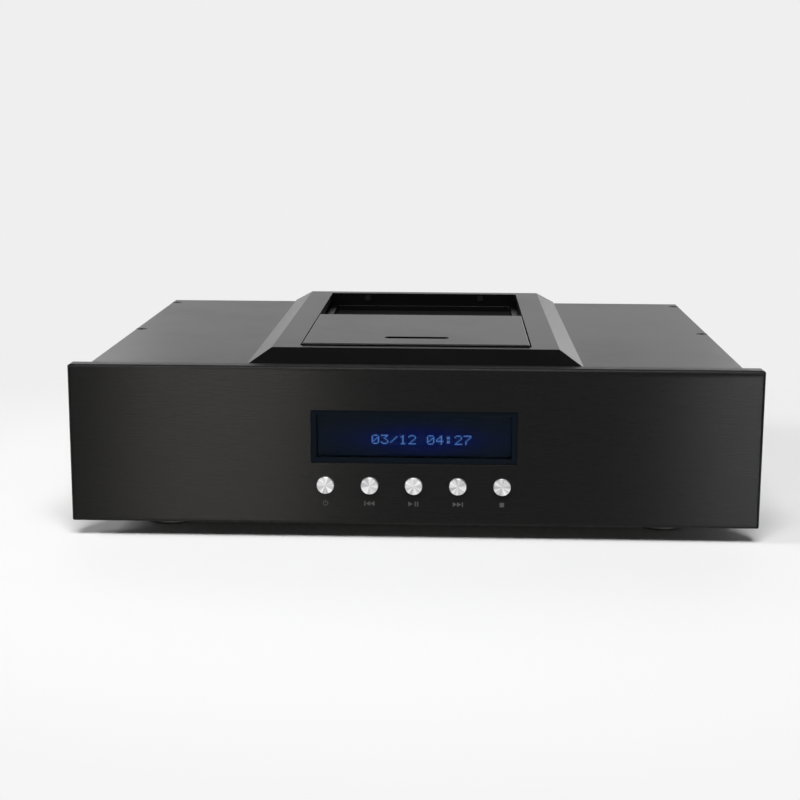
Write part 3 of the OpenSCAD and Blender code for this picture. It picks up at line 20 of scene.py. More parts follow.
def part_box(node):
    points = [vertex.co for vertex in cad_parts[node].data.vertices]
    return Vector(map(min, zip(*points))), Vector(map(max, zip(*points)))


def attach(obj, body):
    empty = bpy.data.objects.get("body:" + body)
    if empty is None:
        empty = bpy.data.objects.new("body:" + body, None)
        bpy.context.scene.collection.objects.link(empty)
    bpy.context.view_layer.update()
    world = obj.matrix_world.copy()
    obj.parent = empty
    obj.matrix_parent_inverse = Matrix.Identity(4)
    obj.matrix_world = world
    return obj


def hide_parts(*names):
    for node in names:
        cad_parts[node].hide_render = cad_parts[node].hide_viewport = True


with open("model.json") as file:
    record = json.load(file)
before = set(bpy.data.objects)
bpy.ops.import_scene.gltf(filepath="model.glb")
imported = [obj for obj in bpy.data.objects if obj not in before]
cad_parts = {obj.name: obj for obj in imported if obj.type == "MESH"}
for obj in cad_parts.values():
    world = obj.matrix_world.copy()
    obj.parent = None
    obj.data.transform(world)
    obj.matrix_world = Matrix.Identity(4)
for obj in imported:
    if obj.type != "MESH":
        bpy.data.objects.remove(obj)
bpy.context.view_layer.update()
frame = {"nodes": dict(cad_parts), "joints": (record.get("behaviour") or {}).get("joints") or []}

Array = np.ndarray
Colour = tuple[float, float, float]
Socket = bpy.types.NodeSocket
Tree = bpy.types.NodeTree
Node = bpy.types.Node
Material = bpy.types.Material
MM = 0.001
X_AXIS = np.array([1.0, 0.0, 0.0])
Y_AXIS = np.array([0.0, 1.0, 0.0])
Z_AXIS = np.array([0.0, 0.0, 1.0])
SQUARE = np.array([[-1.0, -1.0], [1.0, -1.0], [1.0, 1.0], [-1.0, 1.0]])
UNIT = (0.0, 1.0)
CLOUD = (0.3, 0.7)
MOTTLE_SHARE = 0.012
WELD = 1e-7
SLIVER = 1e-8
log = logging.getLogger("transport")


# Shapes


@dataclass
class Shape:
    """Corners and faces of one surface, with a chart of surface coordinates for each corner.

    Attributes:
        points: Corners, as rows of x, y and z.
        faces: Corner numbers of each face.
        chart: A pair of surface coordinates for each corner.
    """

    points: Array
    faces: list[list[int]]
    chart: Array


@dataclass(frozen=True)
class Plane:
    """A place to draw flat outlines on: an origin and two directions across it."""

    origin: Array
    across: Array
    up: Array

    def at(self, outline: Array, height: float) -> Array:
        """Put flat points into space: origin + x * across + y * up + height * (across x up).

        Args:
            outline: Flat points, as rows of x and y.
            height: How far above the plane they lie.

        Returns:
            Rows of x, y and z.
        """
        out = np.cross(self.across, self.up)
        return self.origin + outline[:, :1] * self.across + outline[:, 1:2] * self.up + height * out


def lattice(points: Array) -> Shape:
    """Join a lattice of points into four-sided faces.

    Face (i, j) has the corners (i, j), (i, j + 1), (i + 1, j + 1) and (i + 1, j).

    Args:
        points: The lattice, shaped (rows, columns, 3).

    Returns:
        The surface, charted from 0 to 1 along its columns and rows.
    """
    rows, columns = points.shape[:2]
    number = np.arange(rows * columns).reshape(rows, columns)
    faces = np.stack([number[:-1, :-1], number[:-1, 1:], number[1:, 1:], number[1:, :-1]], axis=-1)
    u, v = np.meshgrid(np.linspace(0.0, 1.0, columns), np.linspace(0.0, 1.0, rows))
    chart = np.stack([u, v], axis=-1).reshape(-1, 2)
    return Shape(points.reshape(-1, 3), faces.reshape(-1, 4).tolist(), chart)


def square_to(axis: Array) -> tuple[Array, Array]:
    """Two directions square to an axis and to each other."""
    helper = Z_AXIS if abs(axis[2]) < 0.9 else X_AXIS
    first = np.cross(helper, axis)
    first = first / np.linalg.norm(first)
    return first, np.cross(axis, first)


def turned(
    profile: Array,
    centre: Array,
    axis: Array,
    segments: int = 96,
    flutes: int = 0,
    flute_depth: float | Array = 0.0,
) -> Shape:
    """Turn a profile about an axis, with flutes cut into it where it has any.

    P(s, a) = centre + along(s) * axis + r(s, a) * (cos a * u + sin a * v), where
    r(s, a) = radius(s) - depth(s) * (1 - cos(flutes * a)) / 2.

    Args:
        profile: Rows of radius and distance along the axis.
        centre: Point where the distance along the axis is zero.
        axis: Unit direction of the axis.
        segments: Steps round the axis.
        flutes: How many flutes go round.
        flute_depth: Depth of the flutes, for the whole profile or for each of its rows.

    Returns:
        The turned surface, charted round the axis and along the profile.
    """
    angle = np.linspace(0.0, 2.0 * math.pi, segments + 1)
    u, v = square_to(axis)
    depth = np.broadcast_to(np.asarray(flute_depth, float), (len(profile),))
    radius = profile[:, :1] - depth[:, None] * (1.0 - np.cos(flutes * angle)) / 2.0
    spoke = np.cos(angle)[:, None] * u + np.sin(angle)[:, None] * v
    points = centre + profile[:, None, 1:2] * axis + radius[..., None] * spoke
    return lattice(points)


def eased(corners: Array, radius: float, steps: int = 5) -> Array:
    """Round the inner corners of an open outline.

    Each corner c becomes (1 - t)^2 a + 2 t (1 - t) c + t^2 b, where a and b lie on the two stretches
    beside it, at the radius or at half a stretch.

    Args:
        corners: Rows of flat points.
        radius: How far a rounding reaches.
        steps: Points on each rounding.

    Returns:
        Rows of flat points.
    """
    inner = corners[1:-1]
    back = corners[:-2] - inner
    on = corners[2:] - inner
    back_length = np.linalg.norm(back, axis=1, keepdims=True)
    on_length = np.linalg.norm(on, axis=1, keepdims=True)
    reach = np.minimum(radius, np.minimum(back_length, on_length) / 2.0)
    start = (inner + reach * back / back_length)[:, None]
    end = (inner + reach * on / on_length)[:, None]
    t = np.linspace(0.0, 1.0, steps)[None, :, None]
    curve = (1.0 - t) ** 2 * start + 2.0 * t * (1.0 - t) * inner[:, None] + t**2 * end
    return np.concatenate([corners[:1], curve.reshape(-1, 2), corners[-1:]])


def prism(outline: Array, plane: Plane, low: float, high: float) -> Shape:
    """Raise a flat outline between two heights over a plane, with a lid at each end.

    Args:
        outline: Flat points in order round the outline.
        plane: Where the outline is drawn.
        low: Height of the lower lid.
        high: Height of the upper lid.

    Returns:
        The closed surface.
    """
    count = len(outline)
    near = np.arange(count)
    far = np.roll(near, -1)
    sides = np.stack([near, far, far + count, near + count], axis=1).tolist()
    lids = [near[::-1].tolist(), (near + count).tolist()]
    points = np.concatenate([plane.at(outline, low), plane.at(outline, high)])
    return Shape(points, sides + lids, np.tile(outline, (2, 1)))


def blocks(centres: Array, size: Array) -> Shape:
    """Many equal blocks: each corner is its block's centre plus or minus half the size.

    Args:
        centres: Rows of block centres.
        size: Width, depth and height of a block.

    Returns:
        All the blocks as one surface.
    """
    sign = np.array(np.meshgrid([-0.5, 0.5], [-0.5, 0.5], [-0.5, 0.5], indexing="ij")).reshape(3, -1).T
    sides = np.array([[0, 1, 3, 2], [4, 6, 7, 5], [0, 4, 5, 1], [2, 3, 7, 6], [0, 2, 6, 4], [1, 5, 7, 3]])
    points = (centres[:, None] + sign * size).reshape(-1, 3)
    faces = (sides + 8 * np.arange(len(centres))[:, None, None]).reshape(-1, 4)
    return Shape(points, faces.tolist(), points[:, [0, 2]])


def arc(radius: float, start: float, end: float, steps: int) -> Array:
    """Points on a flat arc: radius * (cos a, sin a), with the angles in degrees."""
    angle = np.radians(np.linspace(start, end, steps))
    return radius * np.stack([np.cos(angle), np.sin(angle)], axis=1)


def band(inner: float, outer: float, start: float, end: float, steps: int = 48) -> Array:
    """Outline of a flat band between two radii, from one angle to another, in degrees."""
    return np.concatenate([arc(outer, start, end, steps), arc(inner, end, start, steps)])


def node_box(node: str) -> tuple[Array, Array]:
    """Lowest and highest corner of a node of the frame."""
    low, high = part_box(node)
    return np.array(low), np.array(high)


def upright(node: str) -> tuple[Array, float, float]:
    """Foot of a round node's upright axis, its radius and its height."""
    low, high = node_box(node)
    middle = (low + high) / 2.0
    return np.array([middle[0], middle[1], low[2]]), (high[0] - low[0]) / 2.0, high[2] - low[2]


# Shared effects of the finishes


class Wiring:
    """Adds nodes to one node tree and joins them."""

    def __init__(self, tree: Tree) -> None:
        """Keep the tree that the nodes go into."""
        self.tree = tree

    def add(self, kind: str, sockets: dict | None = None, **settings: object) -> Node:
        """Add a node.

        Args:
            kind: The node's type name.
            sockets: Values or output sockets for the node's inputs, by name or number.
            **settings: Values for the node's own settings.

        Returns:
            The node.
        """
        node = self.tree.nodes.new(kind)
        for name, value in settings.items():
            setattr(node, name, value)
        self.feed(node, sockets or {})
        return node

    def feed(self, node: Node, sockets: dict) -> None:
        """Give a node's inputs their values or join output sockets to them, by name or number."""
        for name, value in sockets.items():
            if isinstance(value, Socket):
                self.tree.links.new(value, node.inputs[name])
            else:
                node.inputs[name].default_value = value

    def effect(self, effect: "Effect", **inputs: object) -> bpy.types.bpy_prop_collection:
        """Outputs of a shared effect, which gets its inputs by name."""
        return self.add("ShaderNodeGroup", inputs, node_tree=effect.group()).outputs

    def math(self, operation: str, first: object, second: object = 0.0) -> Socket:
        """Result of a sum on one or two values."""
        return self.add("ShaderNodeMath", {0: first, 1: second}, operation=operation).outputs[0]

    def vector(self, operation: str, first: object, second: object = (0.0, 0.0, 0.0)) -> Socket:
        """Result of a sum on one or two vectors: a value for a length or a dot product."""
        node = self.add("ShaderNodeVectorMath", {0: first, 1: second}, operation=operation)
        return node.outputs["Value" if operation in ("LENGTH", "DOT_PRODUCT") else "Vector"]

    def remap(self, value: object, source: tuple, target: tuple = UNIT) -> Socket:
        """Carry a value from one range to another, held at the ends."""
        ends = {1: source[0], 2: source[1], 3: target[0], 4: target[1]}
        return self.add("ShaderNodeMapRange", {0: value, **ends}).outputs[0]

    def tone(self, share: object, first: object, second: object) -> Socket:
        """Mix two colours by a share."""
        colours = [(*c, 1.0) if isinstance(c, tuple) else c for c in (first, second)]
        mixed = self.add("ShaderNodeMix", {0: share, 6: colours[0], 7: colours[1]}, data_type="RGBA")
        return mixed.outputs[2]

    def place(self) -> Socket:
        """The place of a point of the piece, in metres."""
        return self.add("ShaderNodeTexCoord").outputs["Object"]

    def noise(self, where: object, scale: object, detail: float = 2.0) -> Socket:
        """Cloudy values round one half."""
        sockets = {"Vector": where, "Scale": scale, "Detail": detail}
        return self.add("ShaderNodeTexNoise", sockets).outputs[0]

    def arm(self, middle: object, scale: object) -> Socket:
        """The way from a middle to a point of the piece, scaled along X, Y and Z."""
        return self.vector("MULTIPLY", self.vector("SUBTRACT", self.place(), middle), scale)

    def bump(self, height: object, depth: float, **normal: object) -> Socket:
        """Normals of a relief of some depth, over other normals where those are given."""
        return self.add("ShaderNodeBump", {"Height": height, "Distance": depth, **normal}).outputs[0]


class Effect(Enum):
    """An effect that several finishes share. The value is its node group's name."""

    GRAIN = "surface_grain"
    STREAKS = "drawn_streaks"
    EDGE = "eased_edge"
    HANDLING = "handling_marks"
    RINGS = "turned_rings"
    RAYS = "spun_rays"

    def group(self) -> Tree:
        """The effect's node group, built when it is first asked for."""
        made = bpy.data.node_groups.get(self.value)
        if made is None:
            made = bpy.data.node_groups.new(self.value, "ShaderNodeTree")
            EFFECT_BUILDERS[self](made)
        return made


def open_group(tree: Tree, inputs: dict[str, str], outputs: dict[str, str]) -> tuple:
    """Give a node group its sockets.

    Args:
        tree: The group's tree.
        inputs: Socket kind of each input, by name.
        outputs: Socket kind of each output, by name.

    Returns:
        The wiring of the tree, the outputs of its input node and its output node.
    """
    for way, sockets in (("INPUT", inputs), ("OUTPUT", outputs)):
        for name, kind in sockets.items():
            tree.interface.new_socket(name=name, in_out=way, socket_type=f"NodeSocket{kind}")
    wiring = Wiring(tree)
    return wiring, wiring.add("NodeGroupInput").outputs, wiring.add("NodeGroupOutput")


def build_grain(tree: Tree) -> None:
    """Fine grain of the size given, and the slow mottle of the same surface."""
    wiring, given, end = open_group(tree, {"Size": "Float"}, {"Grain": "Float", "Mottle": "Float"})
    where = wiring.place()
    scale = wiring.math("DIVIDE", 1.0, given["Size"])
    slow = wiring.math("MULTIPLY", scale, MOTTLE_SHARE)
    wiring.feed(end, {"Grain": wiring.noise(where, scale, 3.0), "Mottle": wiring.noise(where, slow, 4.0)})


def build_streaks(tree: Tree) -> None:
    """Streaks left by brushing: grain drawn out along the direction whose stretch is small."""
    wiring, given, end = open_group(tree, {"Stretch": "Vector", "Size": "Float"}, {"Streak": "Float"})
    where = wiring.vector("MULTIPLY", wiring.place(), given["Stretch"])
    wiring.feed(end, {"Streak": wiring.noise(where, wiring.math("DIVIDE", 1.0, given["Size"]), 5.0)})


def build_edge(tree: Tree) -> None:
    """Normals rounded over the edges, and a mask that is 1 where they turn most."""
    wiring, given, end = open_group(tree, {"Radius": "Float"}, {"Normal": "Vector", "Edge": "Float"})
    rounded = wiring.add("ShaderNodeBevel", {"Radius": given["Radius"]}, samples=6).outputs[0]
    flat = wiring.add("ShaderNodeNewGeometry").outputs["Normal"]
    agreement = wiring.vector("DOT_PRODUCT", rounded, flat)
    still, turning = 0.995, 0.80
    wiring.feed(end, {"Normal": rounded, "Edge": wiring.remap(agreement, (still, turning))})


def build_handling(tree: Tree) -> None:
    """Faint marks of wiping and touching, a hand's breadth across."""
    wiring, _, end = open_group(tree, {}, {"Smudge": "Float"})
    where = wiring.place()
    hand_scale, finger_scale = 14.0, 90.0
    wide = wiring.remap(wiring.noise(where, hand_scale, 5.0), (0.42, 0.66))
    fine = wiring.remap(wiring.noise(where, finger_scale, 6.0), (0.35, 0.70), (0.4, 1.0))
    wiring.feed(end, {"Smudge": wiring.math("MULTIPLY", wide, fine)})


def build_rings(tree: Tree) -> None:
    """Rings of a turned face about a centre, at a pitch, in the plane that the mask keeps."""
    inputs = {"Centre": "Vector", "Mask": "Vector", "Pitch": "Float"}
    wiring, given, end = open_group(tree, inputs, {"Ring": "Float"})
    radius = wiring.vector("LENGTH", wiring.arm(given["Centre"], given["Mask"]))
    turns = wiring.math("DIVIDE", wiring.math("MULTIPLY", radius, 2.0 * math.pi), given["Pitch"])
    wiring.feed(end, {"Ring": wiring.remap(wiring.math("SINE", turns), (-1.0, 1.0))})


def build_painted_spokes(tree: Tree) -> None:
    """Painted reflection spokes of a spun face about a centre: cloudy values along the unit direction from
    the centre, standing for the fanned highlights that spun metal shows.
    """
    inputs = {"Centre": "Vector", "Mask": "Vector"}
    wiring, given, end = open_group(tree, inputs, {"Ray": "Float"})
    way = wiring.vector("NORMALIZE", wiring.arm(given["Centre"], given["Mask"]))
    apart, painted_spoke_scale = (40.0, 40.0, 40.0), 1.7
    shift = wiring.vector("MULTIPLY", given["Centre"], apart)
    cloud = wiring.noise(wiring.vector("ADD", way, shift), painted_spoke_scale, 3.0)
    wiring.feed(end, {"Ray": wiring.remap(cloud, (0.38, 0.62))})


EFFECT_BUILDERS = {
    Effect.GRAIN: build_grain,
    Effect.STREAKS: build_streaks,
    Effect.EDGE: build_edge,
    Effect.HANDLING: build_handling,
    Effect.RINGS: build_rings,
    Effect.RAYS: build_painted_spokes,
}


# Finishes


class Drawn(Enum):
    """The way a surface was brushed. The value is the stretch of its streaks along X, Y and Z."""

    NOT = (1.0, 1.0, 1.0)
    ACROSS = (0.012, 1.0, 1.0)
    DEEP = (1.0, 0.012, 1.0)

    def spread(self) -> tuple[float, float, float]:
        """The level or upright direction that highlights of the brushed surface spread along."""
        return (0.0, 0.0, 1.0) if self is Drawn.ACROSS else (1.0, 0.0, 0.0)


@dataclass(frozen=True)
class Finish:
    """A finish, and the slot of the record that it stands for. The slot is not used."""

    name: str
    slot: str

    def material(self) -> Material:
        """The finish's material, made when it is first asked for."""
        made = bpy.data.materials.get(self.name)
        if made is None:
            made = bpy.data.materials.new(self.name)
            made.use_nodes = True
            self.wire(Wiring(made.node_tree), made.node_tree.nodes["Principled BSDF"])
        return made

    def wire(self, wiring: Wiring, shader: Node) -> None:
        """Join the finish's nodes to its shader. Each kind of finish has its own way."""
        raise NotImplementedError


def shaded(colour: Colour, share: float) -> Colour:
    """A colour made darker or lighter by a share, up to white."""
    return tuple(min(1.0, c * share) for c in colour)


@dataclass(frozen=True)
class Solid(Finish):
    """An opaque finish: metal, coating, moulding or rubber.

    Attributes:
        tint: Colour of the surface.
        roughness: Middle roughness.
        metallic: 1 for bare metal.
        shine: Specular level.
        turning: Anisotropy of a brushed surface.
        grain: Size of the grain in metres.
        depth: Height of the grain in metres.
        spread: How far the colour strays from the tint, as a share.
        uneven: How far the roughness strays.
        drawn: The way the surface was brushed.
        edge: Radius of the eased edges in metres.
        edge_wear_and_highlight_gain: How much lighter the edges are, as a share: a painted highlight along
            the edges, partly edge wear.
        smudged: How far handling marks change the roughness.
    """

    tint: Colour
    roughness: float
    metallic: float = 0.0
    shine: float = 0.5
    turning: float = 0.0
    grain: float = 0.30 * MM
    depth: float = 0.010 * MM
    spread: float = 0.12
    uneven: float = 0.05
    drawn: Drawn = Drawn.NOT
    edge: float = 0.35 * MM
    edge_wear_and_highlight_gain: float = 0.6
    smudged: float = 0.0

    def wire(self, wiring: Wiring, shader: Node) -> None:
        """Mottled colour, edges lightened by a painted highlight that is partly edge wear, uneven
        roughness, and grain or streaks over eased edges.
        """
        grain = wiring.effect(Effect.GRAIN, Size=self.grain)
        edge = wiring.effect(Effect.EDGE, Radius=self.edge)
        ends = (shaded(self.tint, 1.0 - self.spread), shaded(self.tint, 1.0 + self.spread))
        colour = wiring.tone(grain["Mottle"], *ends)
        relief = grain["Grain"]
        if self.drawn is not Drawn.NOT:
            relief = wiring.effect(Effect.STREAKS, Stretch=self.drawn.value, Size=self.grain)["Streak"]
            way = dict(enumerate(self.drawn.spread()))
            wiring.feed(shader, {"Tangent": wiring.add("ShaderNodeCombineXYZ", way).outputs[0]})
        span = (self.roughness - self.uneven, self.roughness + self.uneven)
        roughness = wiring.remap(relief, CLOUD, span)
        if self.smudged:
            marks = wiring.effect(Effect.HANDLING)["Smudge"]
            roughness = wiring.math("ADD", roughness, wiring.math("MULTIPLY", marks, self.smudged))
        wiring.feed(shader, {
            "Metallic": self.metallic,
            "Specular IOR Level": self.shine,
            "Anisotropic": self.turning,
            # Painted highlight: the colour turns lighter along the edges, partly standing for edge wear.
            "Base Color": wiring.tone(edge["Edge"], colour, shaded(self.tint, 1.0 + self.edge_wear_and_highlight_gain)),
            "Roughness": roughness,
            "Normal": wiring.bump(relief, self.depth, Normal=edge["Normal"]),
        })


@dataclass(frozen=True)
class Turned(Finish):
    """Bare metal or moulding turned on a lathe, with rings about one centre.

    Attributes:
        tint: Colour of the surface.
        roughness: Middle roughness.
        centre: A point on the axis of the rings.
        mask: 1 along the two directions square to the axis, and 0 along it.
        metallic: 1 for bare metal.
        pitch: Distance between rings.
        depth: Height of the rings.
        rays: How much darker the painted reflection spokes are, as a share.
        side_dulling: How much rougher the surface is where it faces away from the axis.
        grain: Size of the grain in metres.
        edge: Radius of the eased edges in metres.
        mottled: How dark the mottle goes, as a share of the tint.
        ring_span: Roughness in and on the rings, as shares of the middle one.
    """

    tint: Colour
    roughness: float
    centre: tuple[float, float, float]
    mask: tuple[float, float, float]
    metallic: float = 1.0
    pitch: float = 0.22 * MM
    depth: float = 0.008 * MM
    rays: float = 0.2
    side_dulling: float = 0.0
    grain: float = 0.4 * MM
    edge: float = 0.2 * MM
    mottled: float = 0.93
    ring_span: tuple[float, float] = (0.8, 1.25)

    def wire(self, wiring: Wiring, shader: Node) -> None:
        """Rings as relief and as a change of roughness, over painted reflection spokes, mottle and eased
        edges.
        """
        about = {"Centre": self.centre, "Mask": self.mask}
        ring = wiring.effect(Effect.RINGS, Pitch=self.pitch, **about)["Ring"]
        painted_spoke = wiring.effect(Effect.RAYS, **about)["Ray"]
        mottle = wiring.effect(Effect.GRAIN, Size=self.grain)["Mottle"]
        rounded = wiring.effect(Effect.EDGE, Radius=self.edge)["Normal"]
        colour = wiring.tone(mottle, shaded(self.tint, self.mottled), self.tint)
        roughness = wiring.remap(ring, UNIT, tuple(self.roughness * k for k in self.ring_span))
        flat = wiring.add("ShaderNodeNewGeometry").outputs["Normal"]
        sideways = wiring.vector("LENGTH", wiring.vector("MULTIPLY", flat, self.mask))
        dull = wiring.math("MULTIPLY", sideways, self.side_dulling)
        wiring.feed(shader, {
            "Metallic": self.metallic,
            # Painted reflection: darker spokes in the colour stand for the fanned highlights of a spun
            # face.
            "Base Color": wiring.tone(painted_spoke, shaded(self.tint, 1.0 - self.rays), colour),
            "Roughness": wiring.math("ADD", roughness, dull),
            "Normal": wiring.bump(ring, self.depth, Normal=rounded),
        })


@dataclass(frozen=True)
class Glass(Finish):
    """Clear or tinted glass or acrylic with a few wiping marks.

    Attributes:
        tint: Colour that the glass lends to what is behind it.
        density: Index of refraction.
        polish: Roughness where it is clean.
        wiped: How much rougher the wiping marks are.
    """

    tint: Colour
    density: float = 1.49
    polish: float = 0.015
    wiped: float = 0.05

    def wire(self, wiring: Wiring, shader: Node) -> None:
        """Full transmission, with the polish dulled a little by handling marks."""
        marks = wiring.effect(Effect.HANDLING)["Smudge"]
        wiring.feed(shader, {
            "Base Color": (*self.tint, 1.0),
            "Transmission Weight": 1.0,
            "IOR": self.density,
            "Roughness": wiring.remap(marks, UNIT, (self.polish, self.polish + self.wiped)),
        })


@dataclass(frozen=True)
class Window(Finish):
    """Smoked acrylic with a low glare coat, and a dark border printed on its back.

    Attributes:
        tint: Colour that the acrylic lends to what is behind it.
        middle: Centre of the window.
        clear: Half width and half height of the part inside the border.
        density: Index of refraction with the low glare coat on.
        border: Colour of the printed border, seen through the acrylic.
        hair: Width of the border's edge, as a share of the clear part.
        polish: Roughness where it is clean and where it is marked.
    """

    tint: Colour
    middle: tuple[float, float, float]
    clear: tuple[float, float]
    density: float = 1.08
    border: Colour = (0.0030, 0.0050, 0.0080)
    hair: float = 0.004
    polish: tuple[float, float] = (0.02, 0.06)

    def wire(self, wiring: Wiring, shader: Node) -> None:
        """The border is where the scaled distance from the middle is past 1, across or up.

        The tint starts a hair inside the clear part, so that no pale edge shows between the two.
        """
        arm = wiring.arm(self.middle, (1.0 / self.clear[0], 0.0, 1.0 / self.clear[1]))
        parts = wiring.add("ShaderNodeSeparateXYZ", {0: wiring.vector("ABSOLUTE", arm)}).outputs
        outside = wiring.math("MAXIMUM", parts["X"], parts["Z"])
        tinted = wiring.remap(outside, (1.0 - self.hair, 1.0), (1.0, 0.0))
        marks = wiring.effect(Effect.HANDLING)["Smudge"]
        wiring.feed(shader, {
            "IOR": self.density,
            "Transmission Weight": wiring.remap(outside, (1.0, 1.0 + self.hair), (1.0, 0.0)),
            "Base Color": wiring.tone(tinted, self.border, self.tint),
            "Roughness": wiring.remap(marks, UNIT, self.polish),
        })


@dataclass(frozen=True)
class Backlight(Finish):
    """Lit liquid-crystal glass: deep blue that is brightest round the text and fades to navy.

    Attributes:
        middle: Centre of the bright field.
        reach: Half width and half height of the field.
        lit: Colour at the middle.
        dim: Colour at the ends.
        fall: Power at which the light falls off.
        grain: Size of the grain in metres.
        waver: How far the light strays, as shares.
        polish: Lowest and highest roughness.
        body: Colour of the glass itself.
        shine: Specular level.
    """

    middle: tuple[float, float, float]
    reach: tuple[float, float]
    lit: Colour
    dim: Colour
    fall: float = 4.0
    grain: float = 0.5 * MM
    waver: tuple[float, float] = (0.85, 1.1)
    polish: tuple[float, float] = (0.18, 0.28)
    body: Colour = (0.001, 0.001, 0.003)
    shine: float = 0.02

    def wire(self, wiring: Wiring, shader: Node) -> None:
        """Light falls off as one over one plus a power of the scaled distance."""
        arm = wiring.arm(self.middle, (1.0 / self.reach[0], 0.0, 1.0 / self.reach[1]))
        far = wiring.vector("LENGTH", arm)
        steep = wiring.math("ADD", wiring.math("POWER", far, self.fall), 1.0)
        grain = wiring.effect(Effect.GRAIN, Size=self.grain)
        cloud = wiring.remap(grain["Mottle"], CLOUD, self.waver)
        share = wiring.math("MULTIPLY", wiring.math("DIVIDE", 1.0, steep), cloud)
        wiring.feed(shader, {
            "Base Color": (*self.body, 1.0),
            "Specular IOR Level": self.shine,
            "Emission Strength": 1.0,
            "Emission Color": wiring.tone(share, self.dim, self.lit),
            "Roughness": wiring.remap(grain["Grain"], CLOUD, self.polish),
        })


@dataclass(frozen=True)
class Glow(Finish):
    """Dots of the display. Lit dots shine, and resting ones show as a faint trace.

    Attributes:
        light: Colour of the light.
        strength: Strength of the light.
        weak: Light of the weakest dots, as a share.
        scale: Scale at which the light wavers, per metre.
        body: Colour of the dots themselves.
        shine: Specular level.
        roughness: Roughness of the dots.
    """

    light: Colour
    strength: float
    weak: float = 0.75
    scale: float = 900.0
    body: Colour = (0.002, 0.004, 0.010)
    shine: float = 0.02
    roughness: float = 0.4

    def wire(self, wiring: Wiring, shader: Node) -> None:
        """Light that wavers a little from dot to dot."""
        waver = wiring.remap(wiring.noise(wiring.place(), self.scale), CLOUD)
        wiring.feed(shader, {
            "Base Color": (*self.body, 1.0),
            "Specular IOR Level": self.shine,
            "Roughness": self.roughness,
            "Emission Strength": self.strength,
            "Emission Color": wiring.tone(waver, shaded(self.light, self.weak), self.light),
        })


@dataclass(frozen=True)
class Laminate(Finish):
    """Circuit board: solder mask over copper runs, with tinned pads.

    Attributes:
        mask: Colours of the solder mask beside the runs and over them.
        tin: Colour of the pads.
        run_scale: Scale of the runs, per metre.
        pad_scale: Scale of the pads, per metre.
        pad_edge: Distances from a pad's middle at which it ends.
        dust_scale: Scale at which the roughness wavers, per metre.
        polish: Lowest and highest roughness.
        relief: Height of runs and pads.
    """

    mask: tuple[Colour, Colour] = ((0.006, 0.045, 0.022), (0.014, 0.085, 0.040))
    tin: Colour = (0.62, 0.60, 0.55)
    run_scale: float = 130.0
    pad_scale: float = 260.0
    pad_edge: tuple[float, float] = (0.17, 0.14)
    dust_scale: float = 4000.0
    polish: tuple[float, float] = (0.28, 0.40)
    relief: float = 0.03 * MM

    def wire(self, wiring: Wiring, shader: Node) -> None:
        """Runs are the cells of a coarse pattern, and pads the middles of a finer one."""
        where = wiring.place()
        runs = wiring.add("ShaderNodeTexBrick", {"Vector": where, "Scale": self.run_scale}).outputs[1]
        cells = wiring.add("ShaderNodeTexVoronoi", {"Vector": where, "Scale": self.pad_scale})
        pads = wiring.remap(cells.outputs["Distance"], self.pad_edge)
        wiring.feed(shader, {
            "Base Color": wiring.tone(pads, wiring.tone(runs, *self.mask), self.tin),
            "Metallic": pads,
            "Roughness": wiring.remap(wiring.noise(where, self.dust_scale), CLOUD, self.polish),
            "Normal": wiring.bump(wiring.math("ADD", runs, pads), self.relief),
        })


PANEL = Solid("panel_brushed_black", "panel_black", (0.0005, 0.0005, 0.0005), 0.30, shine=0.15,
              turning=1.0, grain=0.12 * MM, depth=0.004 * MM, drawn=Drawn.ACROSS, edge=0.3 * MM,
              edge_wear_and_highlight_gain=2.0)
CASE = Solid("case_blasted_black", "case_black", (0.0008, 0.0008, 0.0008), 0.335, shine=0.28,
             grain=0.14 * MM, depth=0.003 * MM, uneven=0.03, edge=0.35 * MM, edge_wear_and_highlight_gain=2.0, smudged=0.03)
COATED = Solid("plate_powder_black", "plate_black", (0.0030, 0.0030, 0.0030), 0.58, shine=0.25,
               grain=0.8 * MM, depth=0.035 * MM, edge_wear_and_highlight_gain=0.5)
MOULDED = Solid("moulding_black", "moulded_black", (0.009, 0.009, 0.0095), 0.42, grain=0.22 * MM,
                depth=0.014 * MM, edge_wear_and_highlight_gain=0.5)
SLEEVED = Solid("sleeve_grey_blue", "moulded_black", (0.016, 0.020, 0.026), 0.32, grain=0.9 * MM,
                depth=0.010 * MM)
INSULATED = Solid("wire_insulation", "moulded_black", (0.020, 0.021, 0.023), 0.38, grain=0.7 * MM,
                  depth=0.008 * MM, edge=0.1 * MM)
ZINC = Solid("zinc_plate", "zinc_steel", (0.56, 0.57, 0.58), 0.34, metallic=1.0, grain=1.6 * MM,
             depth=0.004 * MM, spread=0.15, drawn=Drawn.DEEP, edge_wear_and_highlight_gain=0.2)
OXIDE = Solid("screw_black_oxide", "screw_black", (0.006, 0.006, 0.006), 0.55, shine=0.18,
              grain=0.2 * MM, depth=0.006 * MM, edge=0.12 * MM, edge_wear_and_highlight_gain=1.2)
FOOT = Solid("foot_satin_black", "foot_black", (0.008, 0.008, 0.008), 0.38, grain=0.3 * MM,
             depth=0.010 * MM)
RUBBER = Solid("rubber_matt", "rubber_black", (0.0040, 0.0040, 0.0040), 0.72, shine=0.2, grain=0.5 * MM,
               depth=0.030 * MM, edge_wear_and_highlight_gain=0.3)
WAXY = Solid("slide_waxy_black", "slide_black", (0.0020, 0.0020, 0.0022), 0.58, shine=0.12,
             grain=0.6 * MM, depth=0.008 * MM, edge_wear_and_highlight_gain=0.4)
NICKEL = Solid("nickel_plate", "nickel", (0.62, 0.60, 0.56), 0.20, metallic=1.0, grain=0.5 * MM,
               depth=0.003 * MM, spread=0.06, edge_wear_and_highlight_gain=0.15, edge=0.15 * MM)
